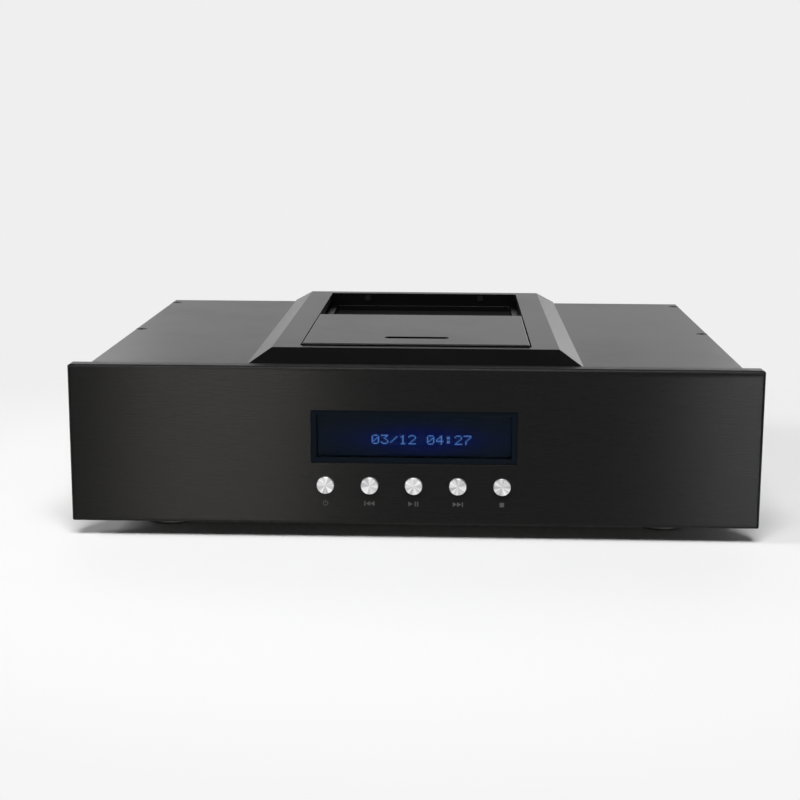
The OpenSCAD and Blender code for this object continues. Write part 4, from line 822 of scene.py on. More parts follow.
NYLON = Solid("gear_nylon_cream", "gear_nylon", (0.62, 0.58, 0.47), 0.44, grain=0.4 * MM,
              depth=0.008 * MM, spread=0.06, edge_wear_and_highlight_gain=0.05, edge=0.08 * MM)
BRASS = Solid("brass_machined", "brass", (0.66, 0.45, 0.17), 0.24, metallic=1.0, grain=0.3 * MM,
              depth=0.003 * MM, spread=0.08, edge_wear_and_highlight_gain=0.1, edge=0.08 * MM)
GOLD = Solid("gold_plate", "socket_gold", (0.85, 0.60, 0.22), 0.16, metallic=1.0, grain=0.4 * MM,
             depth=0.002 * MM, spread=0.05, edge_wear_and_highlight_gain=0.1, edge=0.12 * MM)
TAPE = Solid("winding_tape", "winding", (0.30, 0.19, 0.035), 0.35, grain=0.9 * MM, depth=0.010 * MM,
             spread=0.2, edge_wear_and_highlight_gain=0.1)
SINK = Solid("sink_black", "sink_black", (0.010, 0.010, 0.010), 0.46, grain=0.3 * MM, depth=0.01 * MM)
LINER = Solid("insulator_white", "gear_nylon", (0.78, 0.78, 0.76), 0.36, grain=0.5 * MM, depth=0.004 * MM,
              spread=0.04, edge_wear_and_highlight_gain=0.05, edge=0.08 * MM)
BOARD = Laminate("board_green", "circuit_board")
LENS = Glass("lens_coated", "lens_glass", (0.62, 0.74, 0.95), 1.55, 0.01)
LIT_DOT = Glow("display_dot_lit", "display_blue", (0.08, 0.20, 0.56), 1.0)
REST_DOT = Glow("display_dot_rest", "display_blue", (0.0010, 0.004, 0.046), 1.0)
INK = Solid("print_grey", "panel_black", (0.042, 0.042, 0.041), 0.5, shine=0.2, grain=0.15 * MM,
            depth=0.004 * MM, spread=0.15)
MARK = Solid("print_white", "moulded_black", (0.70, 0.70, 0.68), 0.5, grain=0.15 * MM, depth=0.004 * MM,
             spread=0.06)


def dress(finish: Finish, *nodes: str) -> None:
    """Give nodes of the frame a finish."""
    for name in nodes:
        materials = frame["nodes"][name].data.materials
        materials.clear()
        materials.append(finish.material())
        log.info("dressed %s in %s", name, finish.name)


def put(
    name: str,
    shapes: Sequence[Shape],
    finish: Finish,
    body: str,
    replaces: Sequence[str] = (),
    crease: float = 32.0,
) -> bpy.types.Object:
    """Make a piece out of shapes and let it ride on a body.

    Args:
        name: The piece's name.
        shapes: Surfaces that the piece is made of.
        finish: The piece's finish.
        body: The body that carries it.
        replaces: Nodes of the frame that the piece stands for.
        crease: Angle in degrees past which an edge stays sharp.

    Returns:
        The piece.
    """
    starts = np.cumsum([0] + [len(s.points) for s in shapes])
    faces = [[k + int(a) for k in face] for s, a in zip(shapes, starts) for face in s.faces]
    points = np.concatenate([s.points for s in shapes])
    chart = np.concatenate([s.chart for s in shapes])
    mesh = bpy.data.meshes.new(name)
    mesh.from_pydata(points.tolist(), [], faces)
    corners = np.zeros(len(mesh.loops), dtype=np.int32)
    mesh.loops.foreach_get("vertex_index", corners)
    mesh.uv_layers.new(name="chart").data.foreach_set("uv", chart[corners].astype(np.float32).ravel())
    clean = bmesh.new()
    clean.from_mesh(mesh)
    bmesh.ops.remove_doubles(clean, verts=clean.verts, dist=WELD)
    bmesh.ops.dissolve_degenerate(clean, edges=clean.edges, dist=SLIVER)
    bmesh.ops.recalc_face_normals(clean, faces=clean.faces)
    clean.to_mesh(mesh)
    clean.free()
    mesh.shade_smooth()
    mesh.set_sharp_from_angle(angle=math.radians(crease))
    mesh.materials.append(finish.material())
    piece = bpy.data.objects.new(name, mesh)
    bpy.context.scene.collection.objects.link(piece)
    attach(piece, body)
    if replaces:
        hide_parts(*replaces)
    log.info("built %s with %d faces on %s", name, len(mesh.polygons), body)
    return piece


# Sub-assemblies


class Glyph(Enum):
    """Signs of the display, as seven rows of five dots."""

    ZERO = ".###. #...# #..## #.#.# ##..# #...# .###."
    ONE = "..#.. .##.. ..#.. ..#.. ..#.. ..#.. .###."
    TWO = ".###. #...# ....# ...#. ..#.. .#... #####"
    THREE = "##### ...#. ..#.. ...#. ....# #...# .###."
    FOUR = "...#. ..##. .#.#. #..#. ##### ...#. ...#."
    SEVEN = "##### ....# ...#. ..#.. .#... .#... .#..."
    COLON = "..... .##.. .##.. ..... .##.. .##.. ....."
    SLASH = "..... ....# ...#. ..#.. .#... #.... ....."
    BLANK = "..... ..... ..... ..... ..... ..... ....."

    def dots(self) -> Array:
        """Which dots are lit, as rows from the top and columns from the left."""
        return np.array([[dot == "#" for dot in row] for row in self.value.split()])


@dataclass
class Display:
    """The window, the lit glass behind it and the dots of its one line of signs."""

    signs: tuple[Glyph, ...] = (
        Glyph.ZERO, Glyph.THREE, Glyph.SLASH, Glyph.ONE, Glyph.TWO, Glyph.BLANK,
        Glyph.ZERO, Glyph.FOUR, Glyph.COLON, Glyph.TWO, Glyph.SEVEN,
    )
    middle_x: float = 4.5 * MM
    rise: float = -2.9 * MM
    cell: float = 5.75 * MM
    pitch: tuple[float, float] = (0.96 * MM, 0.87 * MM)
    dot: tuple[float, float, float] = (0.84 * MM, 0.10 * MM, 0.75 * MM)
    sunk: float = 0.05 * MM
    border: float = 1.5 * MM
    glow: tuple[float, float] = (35.0 * MM, 7.2 * MM)
    lit: Colour = (0.0003, 0.0035, 0.047)
    dim: Colour = (0.0026, 0.0048, 0.0056)
    smoke: Colour = (0.86, 0.90, 0.97)

    def build(self) -> None:
        """Dress the window and the glass, and lay the dots on the glass."""
        low, high = node_box("display_glass")
        middle = np.array([self.middle_x, low[1], (low[2] + high[2]) / 2.0 + self.rise])
        glass = Backlight("display_backlight", "display_blue", tuple(middle), self.glow, self.lit, self.dim)
        half = (high - low) / 2.0 - self.border
        centre = tuple((low + high) / 2.0)
        window = Window("window_smoked", "window_tint", self.smoke, centre, (half[0], half[2]))
        dress(window, "display_window")
        dress(glass, "display_glass")
        lit, resting = self.dot_places(middle)
        size = np.array(self.dot)
        put("display_dots_lit", [blocks(lit, size)], LIT_DOT, "chassis")
        put("display_dots_resting", [blocks(resting, size)], REST_DOT, "chassis")

    def dot_places(self, middle: Array) -> tuple[Array, Array]:
        """Centres of the lit and of the resting dots.

        Dot (c, r, k) lies at the middle plus the cell's place, plus the column's and row's pitch.

        Args:
            middle: Middle of the line, on the face of the glass.

        Returns:
            The lit centres and the resting centres.
        """
        lit = np.stack([sign.dots() for sign in self.signs])
        cells, rows, columns = np.indices(lit.shape)
        x = (cells - (len(self.signs) - 1) / 2.0) * self.cell + (columns - 2.0) * self.pitch[0]
        z = (3.0 - rows) * self.pitch[1]
        y = np.full(x.shape, -self.dot[1] / 2.0 - self.sunk)
        places = middle + np.stack([x, y, z], axis=-1)
        return places[lit], places[~lit]


@dataclass
class Controls:
    """The five turned buttons and the signs printed under them."""

    shoulder: float = 1.2 * MM
    face_dish: float = 0.10 * MM
    chamfer: float = 0.30 * MM
    ring_pitch: float = 0.30 * MM
    ring_height: float = 0.0012 * MM
    stem_radius: float = 2.0 * MM
    stem_length: float = 1.6 * MM
    shoulder_depth: float = 1.5 * MM
    sign_drop: float = 11.6 * MM
    sign_height: float = 3.1 * MM
    ink: float = 0.02 * MM
    ease: float = 0.15 * MM
    tint: Colour = (0.92, 0.92, 0.93)
    polish: float = 0.09
    ring_relief: float = 0.0004 * MM
    # Share by which the painted reflection spokes darken the buttons' colour.
    rays: float = 0.5
    side_dulling: float = 0.45

    def build(self) -> None:
        """Replace each button by a turned one, and print its sign on the panel."""
        for name in ("standby", "previous", "play", "next", "stop"):
            node = f"{name}_button"
            low, high = node_box(node)
            middle = (low + high) / 2.0
            finish = Turned(f"{name}_spun_silver", "button_silver", self.tint, self.polish,
                            tuple(middle), (1.0, 0.0, 1.0), depth=self.ring_relief, rays=self.rays,
                            side_dulling=self.side_dulling)
            put(f"{name}_cap", [self.cap(low, high)], finish, node, replaces=[node], crease=50.0)
            panel_face = node_box("front_panel")[0][1]
            plane = Plane(np.array([middle[0], panel_face, middle[2] - self.sign_drop]), X_AXIS, Z_AXIS)
            sign = [prism(o, plane, -self.ink, self.ink) for o in self.outlines(name)]
            put(f"{name}_sign", sign, INK, "chassis")

    def cap(self, low: Array, high: Array) -> Shape:
        """A button: a dished face cut by fine rings, an eased rim, a shoulder and a stem.

        The face's depth at radius p is dish * (1 - (p / rim)^2) + height * cos(2 pi p / pitch).

        Args:
            low: Lowest corner of the button.
            high: Highest corner of the button.

        Returns:
            The turned surface.
        """
        wide = (high[0] - low[0]) / 2.0
        radius = wide - self.shoulder
        rim = radius - self.chamfer
        length = high[1] - low[1]
        p = np.linspace(0.0, rim, 90)
        fade = np.clip((rim - p) / self.ring_pitch, 0.0, 1.0)
        rings = self.ring_height * (1.0 + np.cos(2.0 * math.pi * p / self.ring_pitch)) * fade
        face = np.stack([p, self.face_dish * (1.0 - (p / rim) ** 2) + rings], axis=1)
        seat = length - self.stem_length - self.shoulder_depth
        side = np.array([
            [rim, 0.0], [radius, self.chamfer], [radius, seat], [wide, seat],
            [wide, seat + self.shoulder_depth], [self.stem_radius, seat + self.shoulder_depth],
            [self.stem_radius, length], [0.0, length],
        ])
        profile = np.concatenate([face[:-1], eased(side, self.ease)])
        centre = np.array([(low[0] + high[0]) / 2.0, low[1], (low[2] + high[2]) / 2.0])
        return turned(profile, centre, Y_AXIS, segments=72)

    def outlines(self, name: str) -> list[Array]:
        """Outlines of a button's sign: arrows, bars, a square, or a broken ring with a bar.

        Args:
            name: The button's name.

        Returns:
            The outlines, drawn about the sign's middle.
        """
        h = self.sign_height / 2.0
        right = np.array([[-0.8 * h, -h], [0.9 * h, 0.0], [-0.8 * h, h]])
        bar = SQUARE * [0.25, 1.0] * h
        step = 1.75 * h
        turn = np.array([-1.0, 1.0])
        if name == "standby":
            return [band(0.78 * h, 1.08 * h, 120.0, 420.0), bar * [0.6, 0.62] + [0.0, 0.72 * h]]
        if name == "previous":
            back = (right * turn)[::-1]
            return [bar - [1.9 * h, 0.0], back - [0.55 * h, 0.0], back + [step - 0.55 * h, 0.0]]
        if name == "next":
            return [right - [step - 0.55 * h, 0.0], right + [0.55 * h, 0.0], bar + [1.9 * h, 0.0]]
        if name == "play":
            return [right - [1.3 * h, 0.0], bar + [0.75 * h, 0.0], bar + [1.65 * h, 0.0]]
        return [SQUARE * 0.9 * h]


@dataclass
class Casework:
    """Panels, plates, brackets, feet and fasteners of the case."""

    def build(self) -> None:
        """Dress the case."""
        dress(PANEL, "front_panel")
        dress(CASE, "top_plate", "side_panel_left", "side_panel_right", "rear_panel")
        dress(COATED, "bottom_plate")
        dress(OXIDE, "case_screws", "bracket_screws")
        dress(ZINC, "corner_brackets", "surround_screws", "foot_screws")
        dress(FOOT, "feet")
        dress(RUBBER, "foot_pads")


@dataclass
class DoorAndBay:
    """The surround, the sliding door in it, and the disc well under the door."""

    def build(self) -> None:
        """Dress the surround, the door, its slides and stops, and the deck."""
        dress(CASE, "door_surround", "disc_door")
        dress(WAXY, "door_slides")
        dress(NICKEL, "door_magnet")
        dress(RUBBER, "door_bumpers")
        dress(MOULDED, "door_sensor")
        dress(COATED, "well_deck")


@dataclass
class Drive:
    """The disc drive: turntable, clamp, sled, lens, gears and motors."""

    knurls: int = 72
    knurl_depth: float = 0.35 * MM
    clamp_hollow: float = 7.8 * MM
    clamp_roof: float = 3.6 * MM
    clamp_grip_in: float = 5.5 * MM
    clamp_shoulder: float = 0.6 * MM
    clamp_ease: float = 0.35 * MM
    clamp_land: float = 2.2 * MM
    clamp_dish: float = 0.35 * MM
    clamp_dimple: tuple[float, float] = (1.2 * MM, 0.9 * MM)
    clamp_tint: Colour = (0.58, 0.58, 0.59)
    clamp_polish: float = 0.36
    grip_margin: float = 0.1 * MM
    lens_rim: float = 1.0 * MM
    lens_dome_share: float = 0.85

    def build(self) -> None:
        """Dress the drive, and build the clamp and the lens that show when the door is open."""
        dress(ZINC, "drive_base", "drive_posts", "spindle_motor", "sled_motor")
        dress(RUBBER, "drive_dampers")
        dress(NICKEL, "guide_rods", "spindle_shaft")
        dress(MOULDED, "laser_sled", "turntable")
        dress(NYLON, "sled_gear")
        dress(BRASS, "motor_pinion")
        self.clamp()
        self.lens()

    def clamp(self) -> None:
        """A turned clamp: a rim, a knurled grip and a dished top cut by rings."""
        centre, r, top = upright("disc_clamp")
        roof = self.clamp_roof
        cut = self.clamp_shoulder
        grip = r - self.clamp_grip_in
        land = grip - self.clamp_land
        floor = top - self.clamp_dish
        dimple, pit = self.clamp_dimple
        corners = np.array([
            [0.0, roof], [self.clamp_hollow, roof], [self.clamp_hollow, 0.0], [r - cut, 0.0], [r, cut],
            [r, roof - cut], [r - cut, roof], [grip + cut, roof], [grip, roof + cut], [grip, top - cut],
            [grip - cut, top], [land, top], [land - self.clamp_dish, floor],
            [dimple + self.clamp_dish, floor], [dimple, top - pit], [0.0, top - pit],
        ])
        profile = eased(corners, self.clamp_ease)
        height = profile[:, 1]
        side = np.abs(profile[:, 0] - grip) < self.grip_margin
        depth = np.where(side & (height > roof) & (height < top), self.knurl_depth, 0.0)
        shape = turned(profile, centre, Z_AXIS, 4 * self.knurls, self.knurls, depth)
        finish = Turned("clamp_turned_silver", "clamp_silver", self.clamp_tint, self.clamp_polish,
                        tuple(centre), (1.0, 1.0, 0.0))
        put("disc_clamp_turned", [shape], finish, "turntable", replaces=["disc_clamp"])

    def lens(self) -> None:
        """A lens with a smooth dome: height = rise * sqrt(1 - (p / radius)^2) over its rim."""
        centre, r, tall = upright("objective_lens")
        rim = self.lens_rim
        dome = self.lens_dome_share * r
        angle = np.linspace(0.0, math.pi / 2.0, 16)
        rise = tall - rim
        cap = np.stack([dome * np.cos(angle), rim + rise * np.sin(angle)], axis=1)
        profile = np.concatenate([np.array([[0.0, 0.0], [r, 0.0], [r, rim]]), cap])
        put("objective_lens_dome", [turned(profile, centre, Z_AXIS, 64)], LENS, "sled",
            replaces=["objective_lens"])


@dataclass
class Electronics:
    """Boards, transformer and wiring inside the case."""

    turns: int = 84
    ridge: float = 0.7 * MM
    bore: float = 15.0 * MM
    corner: float = 12.0 * MM

    def build(self) -> None:
        """Dress the boards and what is on them, and wind the transformer."""
        dress(BOARD, "control_board", "power_board", "main_board")
        dress(MOULDED, "tact_switches", "main_chips")
        dress(SLEEVED, "capacitors")
        dress(SINK, "heat_sinks")
        dress(ZINC, "display_frame", "transformer_bolt")
        dress(RUBBER, "transformer_pads")
        dress(BRASS, "board_standoffs")
        dress(INSULATED, "wiring_loom")
        self.transformer()

    def transformer(self) -> None:
        """A ring wound with tape: its section is a rounded rectangle and each turn is a shallow ridge.

        P(s, a) = the section at s, drawn in by ridge * (1 - cos(turns * a)) / 2, turned through a.
        """
        centre, outer, tall = upright("transformer")
        bore = self.bore
        middle = (outer + bore) / 2.0
        box = np.array([
            [middle, 0.0], [outer, 0.0], [outer, tall], [bore, tall], [bore, 0.0], [middle, 0.0],
        ])
        section = eased(box, self.corner, 12)
        inward = np.array([middle, tall / 2.0]) - section
        inward = inward / np.linalg.norm(inward, axis=1, keepdims=True)
        angle = np.linspace(0.0, 2.0 * math.pi, 6 * self.turns + 1)
        sink = self.ridge * (1.0 - np.cos(self.turns * angle)) / 2.0
        flat = section[:, None] + inward[:, None] * sink[None, :, None]
        spoke = np.stack([np.cos(angle), np.sin(angle), np.zeros_like(angle)], axis=1)
        points = centre + flat[..., :1] * spoke + flat[..., 1:] * Z_AXIS
        put("transformer_wound", [lattice(points)], TAPE, "chassis", replaces=["transformer"], crease=60.0)


@dataclass(frozen=True)
class Liner:
    """A turned ring in a rear socket.

    Attributes:
        name: The piece's name.
        socket: The socket's node.
        radii: Inner and outer radius of the ring.
        sunk: How far the ring's face lies behind the socket's end.
        length: Length of the ring.
        finish: The ring's finish.
        ease: Rounding of its edges.
    """

    name: str
    socket: str
    radii: tuple[float, float]
    sunk: float
    length: float
    finish: Finish
    ease: float = 0.12 * MM

    def build(self) -> None:
        """Turn the ring about the socket's axis."""
        low, high = node_box(self.socket)
        middle = (low + high) / 2.0
        start = np.array([middle[0], high[1] - self.sunk - self.length, middle[2]])
        inner, outer = self.radii
        far = self.length
        corners = np.array([[inner, 0.0], [outer, 0.0], [outer, far], [inner, far], [inner, 0.0]])
        shape = turned(eased(corners, self.ease), start, Y_AXIS, segments=64)
        put(self.name, [shape], self.finish, "chassis")


@dataclass
class RearSockets:
    """Sockets and switch of the rear panel, with their insulators, screws and marks."""

    screw_radius: float = 2.6 * MM
    screw_height: float = 1.2 * MM
    screw_sunk: float = 0.1 * MM
    dome_tilt: float = 70.0
    driver: float = 1.15 * MM
    driver_depth: float = 0.8 * MM
    driver_margin: float = 1.04
    swing: float = 10.0
    rocker_reach: float = 11.0 * MM
    rocker_valley: float = 8.0 * MM
    rocker_half: float = 7.5 * MM
    mark_bar: tuple[float, float] = (0.35 * MM, 1.7 * MM)
    mark_ring: tuple[float, float, float, float] = (1.15 * MM, 1.75 * MM, 0.0, 359.9)
    mark_ink: float = 0.03 * MM
    inlet_screw_in: float = 5.5 * MM
    balanced_screw_in: float = 3.4 * MM
    liners: tuple[Liner, ...] = (
        Liner("coax_insulator", "coax_socket", (2.17 * MM, 3.23 * MM), 0.35 * MM, 3.6 * MM, LINER),
        Liner("clock_insulator", "clock_socket", (0.95 * MM, 2.60 * MM), 1.8 * MM, 6.0 * MM, LINER),
        Liner("clock_contact", "clock_socket", (0.62 * MM, 1.00 * MM), 1.65 * MM, 3.0 * MM, GOLD),
        Liner("balanced_insulator", "balanced_socket", (0.0, 9.25 * MM), 15.5 * MM, 0.45 * MM, MOULDED),
    )

    def build(self) -> None:
        """Dress the sockets, and add their insulators, flange screws and the rocker's marks."""
        dress(MOULDED, "mains_inlet", "switch_housing", "mains_rocker")
        dress(NICKEL, "balanced_socket", "clock_socket", "socket_pins")
        dress(GOLD, "coax_socket")
        self.screws()
        for liner in self.liners:
            liner.build()
        self.rocker_marks()

    def screws(self) -> None:
        """Screws at the flanges of the mains inlet and of the balanced socket."""
        low, high = node_box("mains_inlet")
        middle = (low + high) / 2.0
        wide = (high[0] - low[0]) / 2.0 - self.inlet_screw_in
        heads = [np.array([middle[0] + side * wide, high[1], middle[2]]) for side in (-1.0, 1.0)]
        put("inlet_screws", [self.screw(head) for head in heads], OXIDE, "chassis")
        low, high = node_box("balanced_socket")
        middle = (low + high) / 2.0
        corner = (high - low) / 2.0 - self.balanced_screw_in
        seat = np.array([middle[0], high[1], middle[2]])
        heads = [seat + side * corner * np.array([1.0, 0.0, -1.0]) for side in (-1.0, 1.0)]
        put("balanced_screws", [self.screw(head) for head in heads], OXIDE, "chassis")

    def screw(self, seat: Array) -> Shape:
        """A low dome with a hexagonal socket, whose rings pass from a hexagon to a circle.

        r(s, a) = radius(s) for the dome, and flat / cos(a folded into one sixth of a turn) for the socket.

        Args:
            seat: Where the head meets the flange.

        Returns:
            The head's surface.
        """
        angle = np.linspace(0.0, 2.0 * math.pi, 73)
        folded = np.mod(angle + math.pi / 6.0, math.pi / 3.0) - math.pi / 6.0
        hexagon = self.driver / np.cos(folded)
        dome = np.radians(np.linspace(self.dome_tilt, 0.0, 8))
        radius = self.screw_radius * np.cos(dome)
        height = self.screw_height * np.sin(dome) / math.sin(dome[0])
        rings = np.concatenate([
            np.zeros((1, len(angle))), hexagon[None], hexagon[None],
            np.maximum(radius[:, None], hexagon * self.driver_margin),
            np.full((1, len(angle)), self.screw_radius),
        ])
        floor = self.screw_height - self.driver_depth
        out = np.concatenate([[floor, floor, self.screw_height], height, [-self.screw_sunk]])
        spoke = np.stack([np.cos(angle), np.zeros_like(angle), np.sin(angle)], axis=1)
        return lattice(seat + rings[..., None] * spoke + out[:, None, None] * Y_AXIS)

    def rocker_marks(self) -> None:
        """A bar and a ring on the two halves of the rocker, at the tilt it has at rest."""
        joint = next(j for j in frame["joints"] if j["name"] == "mains_rocker_tilt")
        pivot = np.array(joint["pos_m"])
        tilt = math.radians(self.swing)
        for half, name in ((1.0, "bar"), (-1.0, "ring")):
            slope = np.array([self.rocker_reach - self.rocker_valley, half * self.rocker_half])
            middle = np.array([self.rocker_valley, 0.0]) + slope / 2.0
            along = slope / np.linalg.norm(slope)
            turn = np.array([[math.cos(tilt), -math.sin(tilt)], [math.sin(tilt), math.cos(tilt)]])
            spot = turn @ middle
            up = half * (turn @ along)
            plane = Plane(
                pivot + np.array([0.0, spot[0], spot[1]]), -X_AXIS, np.array([0.0, up[0], up[1]])
            )
            outline = SQUARE * self.mark_bar if name == "bar" else band(*self.mark_ring)
            mark = prism(outline, plane, -self.mark_ink, self.mark_ink)
            put(f"rocker_{name}", [mark], MARK, "mains_rocker")


# Camera, floor and light


@dataclass
class PhotoCamera:
    """The camera, at the place and angle of the photograph.

    Attributes:
        image: Width and height of the image in pixels.
        focal: Focal length in pixels.
        middle: Pixel that the lens axis passes through.
        place: Where the camera stands, in metres.
        yaw: Turn to the right of +Y, in radians.
        pitch: Dip below the level, in radians.
        roll: Turn about the lens axis, in radians.
    """

    image: float = 800.0
    focal: float = 1527.1
    middle: tuple[float, float] = (407.2, 378.4)
    place: tuple[float, float, float] = (0.02335, -1.08655, 0.27399)
    yaw: float = -0.0300
    pitch: float = 0.1829
    roll: float = -0.0048

    def build(self) -> None:
        """Set the camera up."""
        ahead = Vector((
            math.sin(self.yaw) * math.cos(self.pitch),
            math.cos(self.yaw) * math.cos(self.pitch),
            -math.sin(self.pitch),
        ))
        right = Vector((math.cos(self.yaw), -math.sin(self.yaw), 0.0))
        down = ahead.cross(right)
        across = math.cos(self.roll) * right + math.sin(self.roll) * down
        below = -math.sin(self.roll) * right + math.cos(self.roll) * down
        turn = Matrix((across, -below, -ahead)).transposed()
        data = bpy.data.cameras.new("photo_camera")
        data.sensor_width = 36.0
        data.lens = data.sensor_width * self.focal / self.image
        data.shift_x = (self.image / 2.0 - self.middle[0]) / self.image
        data.shift_y = (self.middle[1] - self.image / 2.0) / self.image
        data.clip_start = 0.01
        camera = bpy.data.objects.new("photo_camera", data)
        camera.matrix_world = Matrix.Translation(self.place) @ turn.to_4x4()
        bpy.context.scene.collection.objects.link(camera)
        bpy.context.scene.camera = camera


@dataclass
class SoftBox:
    """One soft light: its place, its size and its power."""

    name: str
    place: tuple[float, float, float]
    size: tuple[float, float]
    power: float
    colour: Colour = (1.0, 1.0, 1.0)
    aim: tuple[float, float, float] = (0.0, 0.0, 0.05)

    def build(self) -> None:
        """Set the light up, turned to its aim."""
        data = bpy.data.lights.new(self.name, "AREA")
        data.shape = "RECTANGLE"
        data.size, data.size_y = self.size
        data.energy = self.power
        data.color = self.colour
        light = bpy.data.objects.new(self.name, data)
        way = Vector(self.aim) - Vector(self.place)
        turn = way.to_track_quat("-Z", "Y").to_matrix().to_4x4()
        light.matrix_world = Matrix.Translation(self.place) @ turn
        light.visible_camera = False
        bpy.context.scene.collection.objects.link(light)


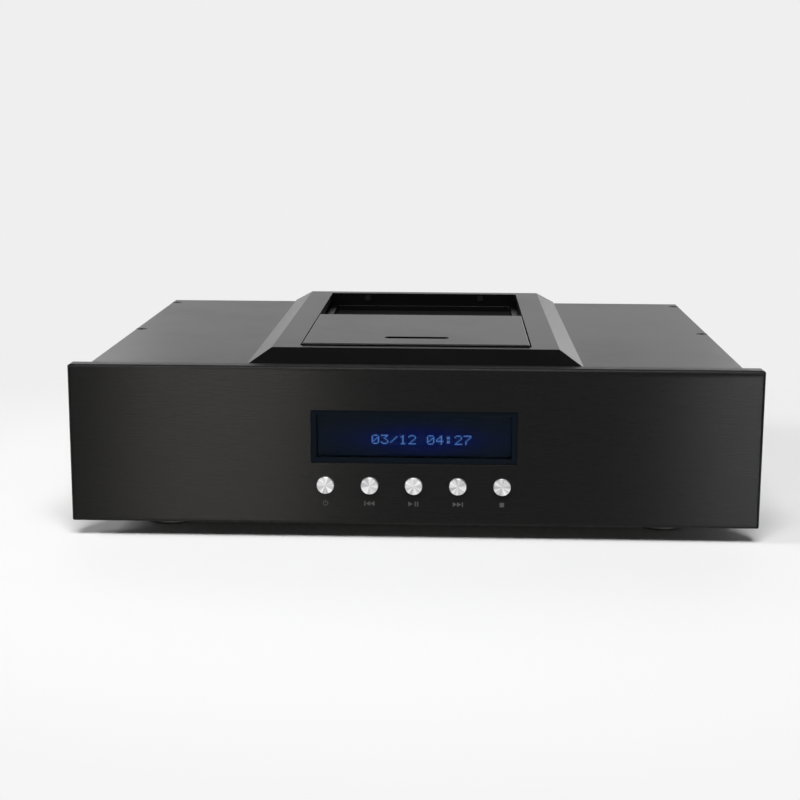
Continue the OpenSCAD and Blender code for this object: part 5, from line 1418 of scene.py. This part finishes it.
@dataclass
class Studio:
    """A pale sweep, soft lights in front and behind, and a sky that is dark overhead.

    Attributes:
        floor_tone: Colour of the paper under the object.
        fibre: Scale of the paper's fibres, per metre.
        fibre_tones: Darkest and lightest fibres, as shares of the paper's colour.
        paper_roughness: Roughness of the paper.
        paper_shine: Specular level of the paper.
        back_tone: Even tone of the paper behind the object.
        front_tone: Even tone of the paper in front of it.
        tone_turn: Depths between which the even tone passes from back to front.
        tone_return: Depths between which it passes back again, far in front.
        near: Distance up to which the paper takes shadows alone.
        far: Distance from which it shows its even tone alone.
        sweep: Width of the sweep, depth of its wall and height of the wall.
        floor_front: Depth of the floor's front end.
        cove: Radius of the turn from floor to wall.
        card_across: Ends of the black card along X.
        card_deep: Place of the card along Y.
        card_up: Lower and upper edge of the card.
        pale: Tone of the sky that the camera sees.
        behind: Tone of the low sky behind the object.
        ahead: Tone of the low sky in front of it.
        zenith: Tone of the sky overhead.
        sky_turn: Y of the direction between which the low sky passes from front to back.
        sky_fade: Z of the direction between which the sky darkens.
    """

    floor_tone: float = 0.90
    fibre: float = 400.0
    fibre_tones: tuple[float, float] = (0.995, 1.005)
    paper_roughness: float = 0.9
    paper_shine: float = 0.1
    back_tone: float = 0.863
    front_tone: float = 0.918
    tone_turn: tuple[float, float] = (-0.05, -0.28)
    tone_return: tuple[float, float] = (-3.6, -1.3)
    near: float = 0.32
    far: float = 0.52
    sweep: tuple[float, float, float] = (9.0, 4.0, 3.0)
    floor_front: float = -4.0
    cove: float = 1.2
    card_across: tuple[float, float] = (-0.50, 0.82)
    card_deep: float = -1.5
    card_up: tuple[float, float] = (0.0632, 0.078)
    pale: float = 0.863
    behind: float = 0.80
    ahead: float = 0.12
    zenith: float = 0.01
    sky_turn: tuple[float, float] = (-0.3, 0.3)
    sky_fade: tuple[float, float] = (0.15, 0.50)

    def build(self) -> None:
        """Set the sweep, the lights and the sky up."""
        lights = (
            SoftBox("key_box", (0.0, -2.4, 3.9), (3.0, 1.6), 199.0),
            SoftBox("left_strip", (-0.56, -3.0, 0.012), (0.46, 0.002), 14.5, (1.0, 0.96, 0.88)),
            SoftBox("right_strip", (1.02, -3.0, 0.012), (0.78, 0.002), 33.0),
            SoftBox("left_box", (-3.2, -0.70, 1.70), (1.2, 1.4), 50.0),
            SoftBox("back_box", (0.0, 2.5, 2.6), (3.0, 1.2), 6.0),
            SoftBox("left_rim", (-1.06, 2.4, 0.62), (0.7, 0.6), 1.0),
            SoftBox("right_rim", (1.06, 2.4, 0.62), (0.7, 0.6), 2.7),
        )
        for light in lights:
            light.build()
        self.floor()
        self.card()
        self.sky()

    def sheet(self, name: str, points: Array, material: Material) -> bpy.types.Object:
        """Make a smooth sheet out of a lattice of points and put it into the scene."""
        shape = lattice(points)
        mesh = bpy.data.meshes.new(name)
        mesh.from_pydata(shape.points.tolist(), [], shape.faces)
        mesh.shade_smooth()
        mesh.materials.append(material)
        sheet = bpy.data.objects.new(name, mesh)
        bpy.context.scene.collection.objects.link(sheet)
        return sheet

    def floor(self) -> None:
        """The sweep: a floor that turns up into a wall, its section carried along X."""
        wide, back, tall = self.sweep
        cove = arc(self.cove, -90.0, 0.0, 24) + [back - self.cove, self.cove]
        section = np.concatenate([np.array([[self.floor_front, 0.0]]), cove, np.array([[back, tall]])])
        x = np.linspace(-wide / 2.0, wide / 2.0, 7)
        points = np.zeros((len(section), len(x), 3))
        points[..., 0] = x
        points[..., 1:] = section[:, None]
        sweep = self.sheet("pale_sweep", points, self.sweep_material())

    def card(self) -> None:
        """A black card, unseen by the camera, that keeps the strips' light off the top of the case."""
        x, z = np.meshgrid(self.card_across, self.card_up)
        points = np.stack([x, np.full_like(x, self.card_deep), z], axis=-1)
        card = self.sheet("strip_card", points, RUBBER.material())
        card.visible_camera = False

    def sweep_material(self) -> Material:
        """Pale paper that takes shadows near the object and shows an even tone far from it."""
        made = bpy.data.materials.new("pale_paper")
        made.use_nodes = True
        nodes = made.node_tree.nodes
        wiring = Wiring(made.node_tree)
        shader = nodes["Principled BSDF"]
        where = wiring.place()
        fibre = wiring.remap(wiring.noise(where, self.fibre, 4.0), CLOUD)
        tones = [(self.floor_tone * k,) * 3 for k in self.fibre_tones]
        colour = wiring.tone(fibre, *tones)
        surface = {"Roughness": self.paper_roughness, "Specular IOR Level": self.paper_shine}
        wiring.feed(shader, {"Base Color": colour, **surface})
        depth = wiring.add("ShaderNodeSeparateXYZ", {0: where}).outputs["Y"]
        turns = [wiring.remap(depth, span) for span in (self.tone_turn, self.tone_return)]
        share = wiring.math("MULTIPLY", *turns)
        far_tone = wiring.tone(share, (self.back_tone,) * 3, (self.front_tone,) * 3)
        even = wiring.add("ShaderNodeEmission", {"Color": far_tone}).outputs[0]
        distance = wiring.remap(wiring.vector("LENGTH", where), (self.near, self.far))
        path = wiring.add("ShaderNodeLightPath").outputs
        seen = wiring.math("MAXIMUM", path["Is Camera Ray"], path["Is Glossy Ray"])
        seen = wiring.math("MAXIMUM", seen, path["Is Transmission Ray"])
        away = wiring.math("MULTIPLY", seen, distance)
        mixed = wiring.add("ShaderNodeMixShader", {0: away, 1: shader.outputs[0], 2: even})
        wiring.feed(nodes["Material Output"], {"Surface": mixed.outputs[0]})
        return made

    def sky(self) -> None:
        """A sky that lights from behind and is dim in front and overhead. It looks pale all round."""
        world = bpy.data.worlds.new("studio_sky")
        world.use_nodes = True
        bpy.context.scene.world = world
        wiring = Wiring(world.node_tree)
        way = wiring.add("ShaderNodeTexCoord").outputs["Generated"]
        parts = wiring.add("ShaderNodeSeparateXYZ", {0: way}).outputs
        low = wiring.tone(wiring.remap(parts["Y"], self.sky_turn), (self.ahead,) * 3, (self.behind,) * 3)
        tone = wiring.tone(wiring.remap(parts["Z"], self.sky_fade), low, (self.zenith,) * 3)
        seen = wiring.add("ShaderNodeLightPath").outputs["Is Camera Ray"]
        tone = wiring.tone(seen, tone, (self.pale,) * 3)
        wiring.feed(world.node_tree.nodes["Background"], {"Color": tone})


def main() -> None:
    """Build the camera, the studio and each sub-assembly."""
    logging.basicConfig(level=logging.INFO, format="%(name)s: %(message)s")
    bpy.context.scene.view_settings.view_transform = "Standard"
    for part in (
        PhotoCamera(), Studio(), Casework(), Display(), Controls(), DoorAndBay(), Drive(), Electronics(),
        RearSockets(),
    ):
        part.build()
        log.info("finished %s", type(part).__name__)


if __name__ == "__main__":
    main()
